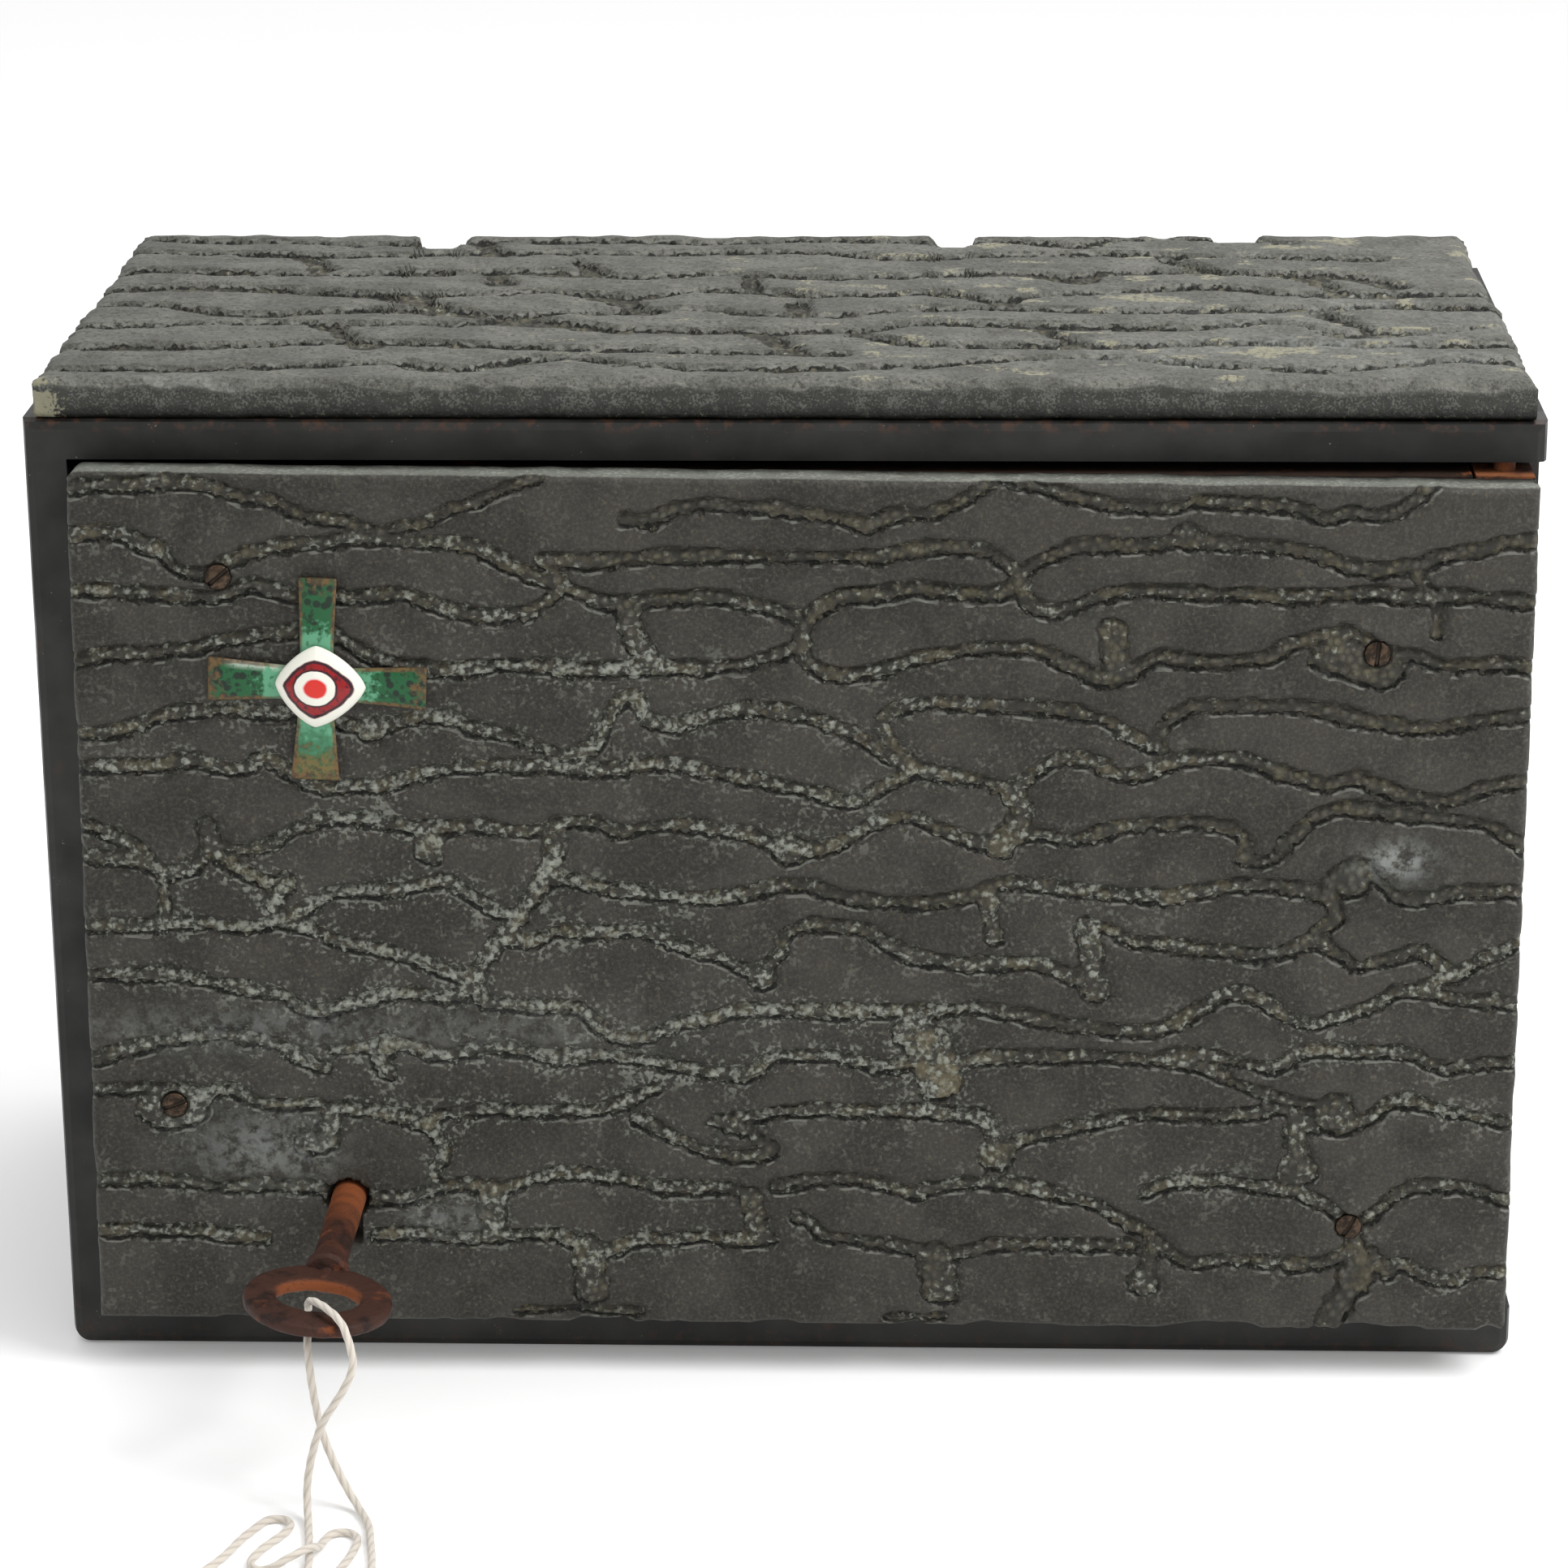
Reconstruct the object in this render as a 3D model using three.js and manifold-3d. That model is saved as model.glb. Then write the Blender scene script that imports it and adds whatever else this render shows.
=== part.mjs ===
// An altar tabernacle: a welded steel box with a cast bronze slab on its top and another on its hinged door.
// Millimetres, +Z up, +X to the right, +Y to the back.
// The origin is the middle of the footprint, on the ground.
import * as THREE from "three";
import { mergeVertices } from "three/addons/utils/BufferGeometryUtils.js";
import Module from "manifold-3d";

const wasm = await Module();
wasm.setup();

// Case
const CASE_WIDTH = 420;
const CASE_DEPTH = 200;
const CASE_HEIGHT = 279.5;
const SHEET = 3;
const FOOT_RADIUS = 5;
const EDGE_ROUND = 2.8;
const FRAME_DEPTH = 12;
const TOP_RAIL = 11.3;
const LEFT_RAIL = 12;
const BOTTOM_RAIL = 12;
const NOTCH_DEPTH = 18.5;
const NOTCH_LIP = 2.6;
const FLANGE_WIDTH = 18;

// Gaps between pieces
const SEAT = 0.3;
const DOOR_GAP = 3.2;
const LATCH_GAP = 3.5;
const LEAF_GAP = 1;

// Slab on the top of the case
const TOP_THICKNESS = 11.4;
const TOP_SIDE_INSET = 2.9;
const TOP_FRONT_INSET = 1;
const TOP_BACK_INSET = 4;
const TOP_CHANNEL_WIDTH = 5;
const TOP_CHANNEL_DEPTH = 1.8;
const TOP_ROWS = 8;
const TOP_ROW_KNOTS = 14;
const TOP_ROW_SWAY = 3.2;
const TOP_ROW_WAVES = 3.4;
const TOP_RIPPLE_SHARE = 0.6;
const TOP_RIPPLE_TURNS = 23;
const TOP_ROW_PHASE = 2.4;
const TOP_RIPPLE_PHASE = 4.08;
const TOP_SLANT_SHARE = 0.055;
const BREAK_DEPTH = 18;
const BREAK_WIDTH = 13;
// Breaks in the back edge: their place along it, from 0 to 1, and their size.
const BREAKS = [[0.235, 1], [0.617, 0.85], [0.83, 0.4]];

// Slab on the door
const SLAB_THICKNESS = 13.5;
const SLAB_OVERLAP_LEFT = 0.4;
const SLAB_OVERLAP_TOP = 0.9;
const SLAB_LEAN = 2.8;
const SLAB_DROP = 3.9;
const SLAB_RISE = 0.9;
const SLAB_END_GAP = 0.1;
const SLAB_CORNER = 3.3;
const CHANNEL_WIDTH = 5.4;
const CHANNEL_DEPTH = 2.2;
const CHANNEL_STEP = 33;
const CHANNEL_DRAFT = 0.25;
const CHANNEL_PAST = 2;

// Door tray, stile and pivots
const TRAY_DEPTH = 15;
const TRAY_FORWARD = 0.2;
const TRAY_END_GAP = 2.5;
const STILE_WIDTH = 16;
const PIVOT_BACK = 5.5;
const PIVOT_INSET = 11;
const PIN_DIAMETER = 6;
const PIN_CLEARANCE = 0.4;
const PIN_REACH = 6.5;
const BORE_DEPTH = 7.8;
const SHOULDER_DIAMETER = 12;

// Lock, keyhole and key
const KEY_FROM_LEFT = 73.4;
const KEY_FROM_BOTTOM = 38.8;
const SHANK_DIAMETER = 9.8;
const KEYHOLE_CLEARANCE = 0.9;
const KEY_SLOT_WIDTH = 6.5;
const KEY_SLOT_DROP = 13.5;
const LOCK_WIDTH = 75;
const LOCK_HEIGHT = 60;
const LOCK_DEPTH = 11.4;
const LOCK_OFFSET_X = -2.5;
const LOCK_WALL = 2.2;
const CHAMBER_RADIUS = 18.5;
const BIT_THICKNESS = 3;
const BIT_CLEARANCE = 0.5;
const KEY_ROLL = 6.5;
const BOW_WIDTH = 40.8;
const BOW_LENGTH = 41;
const BOW_THICKNESS = 4.2;
const BOW_HOLE_WIDTH = 23;
const BOW_HOLE_LENGTH = 18.6;
const BOW_REACH = 91;
const BOW_BEVEL = 0.6;
const BOW_FACETS = 14;
const NECK_MARGIN = 0.6;
const COLLAR_DIAMETER = 12.4;
const COLLAR_LENGTH = 3.5;

// Screws that hold the door slab
const SCREW_HEAD = 7.2;
const SCREW_HEAD_HEIGHT = 2;
const SCREW_SHANK = 4.2;
const SCREW_CLEARANCE = 0.3;
const SCREW_TAIL = 3;
const SCREW_SLOT_WIDTH = 1;
const SCREW_SLOT_DEPTH = 0.8;

// Cross on the door slab
const CROSS_FROM_LEFT = 69.4;
const CROSS_FROM_TOP = 60.3;
const CROSS_TURN = 2.7;
const CROSS_THICKNESS = 2;
const CROSS_LEFT = 30;
const CROSS_RIGHT = 30.5;
const CROSS_UP = 30;
const CROSS_DOWN = 27.8;
const CROSS_ROOT = 8.2;
const CROSS_END_LEFT = 12.2;
const CROSS_END_RIGHT = 12.4;
const CROSS_END_UP = 9.4;
const CROSS_END_DOWN = 13.4;
const GLASS_LEFT = 10.5;
const GLASS_RIGHT = 15.2;
const GLASS_UP = 11.2;
const GLASS_DOWN = 12.3;
const GLASS_RISE = 4.5;
const GLASS_RIM = 0.8;
const GLASS_FOOT_SHARE = 0.97;
const GLASS_SIDES = 24;
const GLASS_LEVELS = 5;
const LOZENGE_POWER = 1.35;
const DOME_POWER = 0.8;

// String tied through the key
const STRING_DIAMETER = 2.2;
const STRING_SIDES = 8;
const STRING_STEP = 9;
const COIL_FROM_KEY = 16;
const COIL_FROM_BOW = 74.5;
const COIL_INNER = 8.6;
const COIL_OUTER = 15.4;
const COIL_HEIGHT = 4.4;

// Planes and edges worked out from the sizes above
const FRONT = -CASE_DEPTH / 2;
const BACK = CASE_DEPTH / 2;
const LEFT = -CASE_WIDTH / 2;
const RIGHT = CASE_WIDTH / 2;
const OPENING = {
  left: LEFT + LEFT_RAIL,
  right: RIGHT - SHEET,
  bottom: BOTTOM_RAIL,
  top: CASE_HEIGHT - TOP_RAIL,
};
const PIVOT_X = RIGHT - PIVOT_INSET;
const PIVOT_Y = FRONT + PIVOT_BACK;
const TRAY_FRONT = FRONT - SHEET - TRAY_FORWARD;
const TRAY = {
  left: OPENING.left + LATCH_GAP,
  right: RIGHT - 2 * LEAF_GAP - STILE_WIDTH - TRAY_END_GAP,
  bottom: OPENING.bottom + DOOR_GAP,
  top: OPENING.top - DOOR_GAP,
};
const STILE_LEFT = TRAY.right + LEAF_GAP;
const SLAB_BACK = TRAY_FRONT - SEAT;
const SLAB_FRONT = SLAB_BACK - SLAB_THICKNESS;
const SLAB = {
  left: OPENING.left - SLAB_OVERLAP_LEFT,
  right: OPENING.right - SLAB_END_GAP,
  bottom: TRAY.bottom,
  top: OPENING.top + SLAB_OVERLAP_TOP,
};
const LOCK_FRONT = TRAY_FRONT + SHEET + SEAT;
const KEY_X = SLAB.left + KEY_FROM_LEFT;
const KEY_Z = SLAB.bottom + KEY_FROM_BOTTOM;
const BOW_Y = SLAB_FRONT + BOW_LENGTH / 2 - BOW_REACH;
const CROSS_X = SLAB.left + CROSS_FROM_LEFT;
const CROSS_Z = SLAB.top - CROSS_FROM_TOP;
const COIL_X = KEY_X - COIL_FROM_KEY;
const COIL_Y = BOW_Y - COIL_FROM_BOW;

// Screws: their distances from the slab's nearer side and end, and the turn of each slot in degrees.
const screwAt = (side, fromSide, end, fromEnd, turn) => ({
  name: `screw_${end}_${side}`,
  x: side === "left" ? SLAB.left + fromSide : SLAB.right - fromSide,
  z: end === "top" ? SLAB.top - fromEnd : SLAB.bottom + fromEnd,
  turn,
});
const SCREWS = [
  screwAt("left", 43.6, "top", 30.1, 40),
  screwAt("right", 42.9, "top", 51.1, 85),
  screwAt("left", 24.4, "bottom", 67.3, 20),
  screwAt("right", 45.9, "bottom", 32.3, 60),
];

// Finishes
const finish = (color, roughness, metalness) =>
  new THREE.MeshStandardMaterial({ color, roughness, metalness });
const BLACKENED_STEEL = finish(0x34342f, 0.55, 0.7);
const CAST_BRONZE = finish(0x4a4843, 0.6, 0.7);
const RUSTY_STEEL = finish(0x5c3b28, 0.8, 0.5);
const SCREW_BRASS = finish(0x6b5136, 0.45, 0.9);
const KEY_IRON = finish(0x7a4a30, 0.75, 0.6);
const GREEN_ENAMEL = finish(0x2f7d54, 0.3, 0.3);
const WHITE_GLASS = finish(0xf2eee6, 0.1, 0);
const STRING_COTTON = finish(0xe8e2d6, 0.95, 0);

// Turns a closed three.js geometry into a solid that can be cut and joined.
function solid(geometry) {
  const plain = geometry.clone();
  for (const name of Object.keys(plain.attributes)) {
    if (name !== "position") {
      plain.deleteAttribute(name);
    }
  }
  const merged = mergeVertices(plain, 1e-4);
  const vertProperties = new Float32Array(merged.attributes.position.array);
  const triVerts = new Uint32Array(merged.index.array);
  return new wasm.Manifold(new wasm.Mesh({ numProp: 3, vertProperties, triVerts }));
}

// Turns a cut solid back into a geometry.
function geometryOf(body) {
  const mesh = body.getMesh();
  const geometry = new THREE.BufferGeometry();
  geometry.setAttribute("position", new THREE.BufferAttribute(new Float32Array(mesh.vertProperties), 3));
  geometry.setIndex(new THREE.BufferAttribute(new Uint32Array(mesh.triVerts), 1));
  return geometry;
}

function joinAll(bodies) {
  return bodies.reduce((whole, next) => whole.add(next));
}

function cutAll(body, cutters) {
  return body.subtract(joinAll(cutters));
}

// A block between two corners.
function block(x0, x1, y0, y1, z0, z1) {
  const geometry = new THREE.BoxGeometry(x1 - x0, y1 - y0, z1 - z0);
  return geometry.translate((x0 + x1) / 2, (y0 + y1) / 2, (z0 + z1) / 2);
}

// A shape drawn in x and z, carried from y0 back to y1.
function plate(shape, y0, y1, options = {}) {
  const geometry = new THREE.ExtrudeGeometry(shape, { depth: y1 - y0, bevelEnabled: false, ...options });
  return geometry.rotateX(Math.PI / 2).translate(0, y1, 0);
}

// An upright round bar.
function post(radius, x, y, z0, z1, sides = 24) {
  const geometry = new THREE.CylinderGeometry(radius, radius, z1 - z0, sides);
  return geometry.rotateX(Math.PI / 2).translate(x, y, (z0 + z1) / 2);
}

// A round bar that runs from front to back.
function axle(radius, x, z, y0, y1, sides = 24) {
  return new THREE.CylinderGeometry(radius, radius, y1 - y0, sides).translate(x, (y0 + y1) / 2, z);
}

// A closed skin over rings with the same number of points, with a fan on the first and the last ring.
function loft(rings) {
  const count = rings[0].length;
  const points = rings.flat();
  const first = points.length;
  points.push(middle(rings[0]), middle(rings[rings.length - 1]));
  const index = [];
  for (let ring = 0; ring + 1 < rings.length; ring += 1) {
    for (let side = 0; side < count; side += 1) {
      const a = ring * count + side;
      const b = ring * count + ((side + 1) % count);
      index.push(a, b, b + count, a, b + count, a + count);
    }
  }
  const last = (rings.length - 1) * count;
  for (let side = 0; side < count; side += 1) {
    const next = (side + 1) % count;
    index.push(first, next, side, first + 1, last + side, last + next);
  }
  const geometry = new THREE.BufferGeometry().setFromPoints(points);
  return geometry.setIndex(index);
}

function middle(points) {
  return points.reduce((sum, p) => sum.add(p), new THREE.Vector3()).divideScalar(points.length);
}

// What a channel takes away: a trough along a curve through knots (u, v), narrower at its floor.
// toPoint carries (u, v, height above the face) into the part.
function channelCutter(knots, width, depth, toPoint) {
  const curve = new THREE.SplineCurve(knots.map(([u, v]) => new THREE.Vector2(u, v)));
  const steps = Math.max(1, Math.ceil(curve.getLength() / CHANNEL_STEP));
  const rings = curve.getSpacedPoints(steps).map((point, i) => {
    const tangent = curve.getTangentAt(i / steps);
    const corner = (side, height) => {
      const half = side * (width / 2 + CHANNEL_DRAFT * height);
      return toPoint(point.x - tangent.y * half, point.y + tangent.x * half, height);
    };
    return [corner(-1, -depth), corner(1, -depth), corner(1, CHANNEL_PAST), corner(-1, CHANNEL_PAST)];
  });
  return solid(loft(rings));
}

// Case: a box of sheet with a frame of square bar at its front, open where the door is.
function buildCase() {
  const outline = new THREE.Shape();
  outline.moveTo(LEFT + FOOT_RADIUS, 0);
  outline.lineTo(RIGHT - FOOT_RADIUS, 0);
  outline.absarc(RIGHT - FOOT_RADIUS, FOOT_RADIUS, FOOT_RADIUS, -Math.PI / 2, 0);
  outline.lineTo(RIGHT, CASE_HEIGHT);
  outline.lineTo(LEFT, CASE_HEIGHT);
  outline.lineTo(LEFT, FOOT_RADIUS);
  outline.absarc(LEFT + FOOT_RADIUS, FOOT_RADIUS, FOOT_RADIUS, Math.PI, 1.5 * Math.PI);
  const rounding = {
    bevelEnabled: true,
    bevelThickness: EDGE_ROUND,
    bevelSize: EDGE_ROUND,
    bevelOffset: -EDGE_ROUND,
    bevelSegments: 2,
    curveSegments: 4,
  };
  const outer = plate(outline, FRONT + EDGE_ROUND, BACK - EDGE_ROUND, rounding);
  const past = 10;
  const hollow = block(
    LEFT + SHEET, RIGHT - SHEET, FRONT + FRAME_DEPTH, BACK - SHEET, SHEET, CASE_HEIGHT - SHEET);
  const doorway = block(
    OPENING.left, OPENING.right, FRONT - past, FRONT + FRAME_DEPTH + SHEET, OPENING.bottom, OPENING.top);
  const notch = block(
    OPENING.right - SHEET, RIGHT + past, FRONT - past, FRONT + NOTCH_DEPTH,
    OPENING.bottom + NOTCH_LIP, OPENING.top);
  const boreRadius = PIN_DIAMETER / 2 + PIN_CLEARANCE;
  const bores = [
    post(boreRadius, PIVOT_X, PIVOT_Y, OPENING.bottom - BORE_DEPTH, OPENING.bottom + 1),
    post(boreRadius, PIVOT_X, PIVOT_Y, OPENING.top - 1, OPENING.top + BORE_DEPTH),
  ];
  const shell = cutAll(solid(outer), [hollow, doorway, notch, ...bores].map(solid));
  const flangeY = FRONT + NOTCH_DEPTH;
  const flange = block(
    RIGHT - FLANGE_WIDTH, RIGHT - SHEET / 2, flangeY, flangeY + SHEET, SHEET / 2, CASE_HEIGHT - SHEET / 2);
  return geometryOf(shell.add(solid(flange)));
}

// Channels of the door slab, as knots (x, z) of their middle lines.
// They are drawn on a slab of the sizes in DRAWN, and stretch with it.
const DRAWN = { left: -198.4, right: 206.9, bottom: 15.2, top: 269.1 };
const COURSES = [
  [[-202, 264], [-160, 265], [-131, 257], [-110, 252], [-88, 258], [-68, 265]],
  [[-202, 250], [-176, 248], [-157, 240], [-139, 248], [-109, 250], [-84, 248], [-61, 236]],
  [[-62, 243], [-25, 245], [20, 244], [48, 248], [66, 240], [86, 248], [124, 249], [162, 242],
  [211, 251]],
  [[-43, 255], [-12, 259], [24, 254], [56, 261], [104, 259], [149, 257], [176, 261]],
  [[-202, 235], [-150, 235], [-104, 234], [-80, 229], [-60, 235], [-20, 234], [7, 226], [26, 234],
  [62, 236]],
  [[62, 238], [74, 230], [96, 236], [152, 235], [211, 232]],
  [[-202, 212], [-176, 217], [-128, 223], [-98, 212], [-30, 212], [4, 219], [18, 211], [52, 218]],
  [[50, 218], [68, 219], [88, 211], [103, 216], [125, 216], [149, 223], [166, 218], [211, 214]],
  [[-202, 194], [-165, 200], [-113, 195], [-95, 199], [-60, 188], [-48, 199]],
  [[-38, 200], [-5, 201], [36, 184], [64, 179], [80, 187], [98, 183], [120, 187], [149, 180],
  [186, 176], [211, 183]],
  [[36, 184], [29, 197], [48, 203], [78, 201], [104, 190], [112, 202], [140, 203], [178, 196],
  [211, 201]],
  [[-202, 185], [-146, 186], [-122, 178], [-92, 184], [-38, 185], [19, 175], [36, 183]],
  [[-202, 168], [-182, 160], [-171, 152], [-158, 160], [-124, 169], [-72, 165], [-20, 167], [6, 161]],
  [[4, 161], [34, 169], [61, 162], [86, 165], [112, 169], [132, 158], [155, 173], [188, 170], [211, 157]],
  [[-158, 159], [-142, 148], [-142, 138]],
  [[-66, 152], [-25, 146], [2, 150], [34, 144], [62, 150], [108, 147], [140, 150], [159, 152],
  [211, 149]],
  [[-202, 136], [-142, 138], [-118, 131], [-88, 120]],
  [[-142, 138], [-118, 147], [-94, 150], [-73, 139]],
  [[-78, 133], [-45, 136], [-8, 123], [6, 138], [44, 128], [70, 127], [87, 120]],
  [[86, 138], [105, 133], [128, 130], [148, 134], [162, 127], [188, 125], [211, 135]],
  [[-202, 121], [-172, 122], [-133, 111], [-110, 117], [-88, 117], [-62, 114], [-45, 103], [-30, 108],
  [-8, 112]],
  [[-10, 112], [30, 112], [62, 111], [95, 107], [124, 117], [147, 109], [178, 119], [211, 115]],
  [[-202, 95], [-160, 104], [-134, 96], [-110, 101], [-80, 100], [-40, 97], [-14, 93], [4, 99], [34, 95]],
  [[48, 96], [80, 98], [118, 97], [150, 101], [176, 100], [188, 95], [211, 99]],
  [[110, 97], [134, 89], [154, 84]],
  [[-202, 87], [-174, 83], [-158, 86], [-134, 83], [-104, 79], [-60, 81], [-38, 87]],
  [[-42, 79], [-22, 69], [-5, 69], [-16, 78], [2, 81], [50, 81], [60, 71], [96, 80], [140, 82]],
  [[154, 76], [176, 86], [211, 78]],
  [[-202, 59], [-160, 57], [-134, 57]],
  [[-116, 54], [-88, 58], [-70, 60], [-46, 61], [-14, 58], [12, 61], [36, 57], [60, 60], [98, 48],
  [118, 37]],
  [[103, 58], [124, 61], [148, 57], [161, 48], [182, 60], [211, 55]],
  [[-202, 43], [-150, 41]],
  [[-117, 42], [-84, 43], [-55, 40], [-10, 42], [4, 48], [14, 43], [44, 38], [80, 41], [104, 41]],
  [[110, 36], [146, 35], [164, 40], [176, 34], [211, 34]],
];
// Wider links that run between the courses: two ends and a width.
const LINKS = [
  [[-41, 232], [-37, 216], 8], [[6, 226], [5, 218], 6], [[91, 224], [93, 211], 9], [[-52, 190],
  [-44, 203], 6],
  [[65, 178], [62, 162], 8], [[-62, 167], [-66, 152], 8], [[-66, 152], [-87, 120], 7], [[58, 149],
  [60, 135], 7],
  [[86, 120], [86, 138], 8], [[153, 149], [147, 134], 6], [[188, 124], [176, 117], 5], [[40, 110],
  [44, 89], 12],
  [[145, 82], [146, 65], 9], [[-84, 57], [-84, 43], 9], [[-9, 57], [-7, 43], 8], [[-56, 40],
  [-55, 25], 11],
  [[44, 38], [44, 26], 12], [[-98, 76], [-98, 58], 6], [[104, 40], [103, 29], 10], [[164, 44],
  [163, 22], 9],
  [[156, 90], [156, 75], 11], [[150, 214], [166, 213], 7], [[-132, 82], [-134, 71], 8],
];

// Carries a drawn point of the pattern to its place on the slab.
function onSlab([x, z]) {
  const across = (x - DRAWN.left) / (DRAWN.right - DRAWN.left);
  const up = (z - DRAWN.bottom) / (DRAWN.top - DRAWN.bottom);
  return [SLAB.left + across * (SLAB.right - SLAB.left), SLAB.bottom + up * (SLAB.top - SLAB.bottom)];
}

// The round hole and the slot below it, a little larger than what passes.
function keyholeCutter(y0, y1) {
  const radius = SHANK_DIAMETER / 2 + KEYHOLE_CLEARANCE;
  const round = solid(axle(radius, KEY_X, KEY_Z, y0, y1));
  const slot = block(
    KEY_X - KEY_SLOT_WIDTH / 2, KEY_X + KEY_SLOT_WIDTH / 2, y0, y1, KEY_Z - KEY_SLOT_DROP, KEY_Z);
  return round.add(solid(slot));
}

// The door slab's outline: its upper left corner is round and its other edges are slightly out of square.
function slabOutline() {
  const shape = new THREE.Shape();
  const topLeft = SLAB.left + SLAB_LEAN;
  shape.moveTo(SLAB.left, SLAB.bottom + SLAB_RISE);
  shape.lineTo(SLAB.right - SLAB_CORNER, SLAB.bottom);
  shape.lineTo(SLAB.right, SLAB.bottom + SLAB_CORNER);
  shape.lineTo(SLAB.right, SLAB.top - SLAB_DROP);
  shape.lineTo(topLeft + SLAB_CORNER, SLAB.top);
  shape.quadraticCurveTo(topLeft, SLAB.top, topLeft, SLAB.top - SLAB_CORNER);
  return shape;
}

function buildDoorSlab() {
  const past = 5;
  const slab = solid(plate(slabOutline(), SLAB_FRONT, SLAB_BACK, { curveSegments: 4 }));
  const floor = SLAB_FRONT + CHANNEL_DEPTH;
  const onFace = (x, z, height) => new THREE.Vector3(x, SLAB_FRONT - height, z);
  const channels = COURSES.map((knots) => channelCutter(
    knots.map(onSlab), CHANNEL_WIDTH, CHANNEL_DEPTH, onFace));
  const links = LINKS.map(([from, to, width]) => channelCutter(
    [from, to].map(onSlab), width, CHANNEL_DEPTH, onFace));
  const seats = SCREWS.flatMap(({ x, z }) => [
    axle(SCREW_HEAD / 2 + SCREW_CLEARANCE, x, z, SLAB_FRONT - past, floor, 16),
    axle(SCREW_SHANK / 2 + SCREW_CLEARANCE, x, z, SLAB_FRONT - past, SLAB_BACK + past, 12),
  ]);
  const keyhole = keyholeCutter(SLAB_FRONT - past, SLAB_BACK + past);
  return geometryOf(cutAll(slab, [...channels, ...links, ...seats.map(solid), keyhole]));
}

// The top slab: rows of channels from end to end, slanting runs between them, and breaks in the back edge.
function buildTopSlab() {
  const x0 = LEFT + TOP_SIDE_INSET;
  const x1 = RIGHT - TOP_SIDE_INSET;
  const y0 = FRONT + TOP_FRONT_INSET;
  const y1 = BACK - TOP_BACK_INSET;
  const z0 = CASE_HEIGHT + SEAT;
  const z1 = z0 + TOP_THICKNESS;
  const past = 4;
  const rowGap = (y1 - y0) / TOP_ROWS;
  const width = x1 - x0;
  const rowY = (row, share) => {
    const sway = Math.sin(TOP_ROW_WAVES * 2 * Math.PI * share + TOP_ROW_PHASE * row);
    const ripple = TOP_RIPPLE_SHARE * Math.sin(TOP_RIPPLE_TURNS * share + TOP_RIPPLE_PHASE * row);
    return y0 + (row + 0.5) * rowGap + TOP_ROW_SWAY * (sway + ripple);
  };
  const onTop = (x, y, height) => new THREE.Vector3(x, y, z1 + height);
  const channel = (knots) => channelCutter(knots, TOP_CHANNEL_WIDTH, TOP_CHANNEL_DEPTH, onTop);
  const cutters = [];
  for (let row = 0; row < TOP_ROWS; row += 1) {
    const knots = [];
    for (let knot = 0; knot <= TOP_ROW_KNOTS; knot += 1) {
      const share = knot / TOP_ROW_KNOTS;
      const stretched = (share - 0.5) * (1 + 2 * past / width) + 0.5;
      knots.push([x0 + stretched * width, rowY(row, share)]);
    }
    cutters.push(channel(knots));
  }
  // Slanting runs step forward by one row, at places spread by the golden ratio.
  for (let row = 1; row < TOP_ROWS; row += 1) {
    for (const start of [(row * 0.618) % 0.42, 0.46 + (row * 0.382) % 0.4]) {
      const end = start + TOP_SLANT_SHARE;
      cutters.push(channel([[x0 + start * width, rowY(row, start)], [x0 + end * width, rowY(row - 1, end)]]));
    }
  }
  const breaks = BREAKS.map(([share, size]) => {
    const middleX = x0 + share * width;
    const half = BREAK_WIDTH / 2;
    const mouth = new THREE.Shape([
      new THREE.Vector2(middleX - half - 2, y1 + past),
      new THREE.Vector2(middleX - half * 0.5, y1 - BREAK_DEPTH * size),
      new THREE.Vector2(middleX + half * 0.3, y1 - BREAK_DEPTH * size * 0.9),
      new THREE.Vector2(middleX + half + 1, y1 + past),
    ]);
    const depth = TOP_THICKNESS + 2 * past;
    const geometry = new THREE.ExtrudeGeometry(mouth, { depth, bevelEnabled: false });
    return geometry.translate(0, 0, z0 - past);
  });
  return geometryOf(cutAll(solid(block(x0, x1, y0, y1, z0, z1)), [...cutters, ...breaks.map(solid)]));
}

// Door tray: a folded sheet with four flanges, open at the back, drilled for the screws and the key.
function buildDoorTray() {
  const tray = solid(block(
    TRAY.left, TRAY.right, TRAY_FRONT, TRAY_FRONT + TRAY_DEPTH, TRAY.bottom, TRAY.top));
  const inside = block(
    TRAY.left + SHEET, TRAY.right - SHEET, TRAY_FRONT + SHEET, TRAY_FRONT + 2 * TRAY_DEPTH,
    TRAY.bottom + SHEET, TRAY.top - SHEET);
  const holes = SCREWS.map(({ x, z }) => axle(
    SCREW_SHANK / 2 + SCREW_CLEARANCE, x, z, TRAY_FRONT - 1, TRAY_FRONT + SHEET + 1, 12));
  return geometryOf(cutAll(tray, [
    ...[inside, ...holes].map(solid), keyholeCutter(TRAY_FRONT - 1, TRAY_FRONT + SHEET + 1)]));
}

// Hinge stile: a bar behind the slab's right edge, with a pivot pin at each end.
function buildHingeStile() {
  const bar = block(
    STILE_LEFT, STILE_LEFT + STILE_WIDTH, TRAY_FRONT, TRAY_FRONT + TRAY_DEPTH + 0.2, TRAY.bottom, TRAY.top);
  const pins = post(
    PIN_DIAMETER / 2, PIVOT_X, PIVOT_Y, OPENING.bottom - PIN_REACH, OPENING.top + PIN_REACH);
  const shoulder = post(
    SHOULDER_DIAMETER / 2, PIVOT_X, PIVOT_Y, OPENING.bottom + SEAT, TRAY.bottom + 1);
  return geometryOf(joinAll([bar, pins, shoulder].map(solid)));
}

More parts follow.
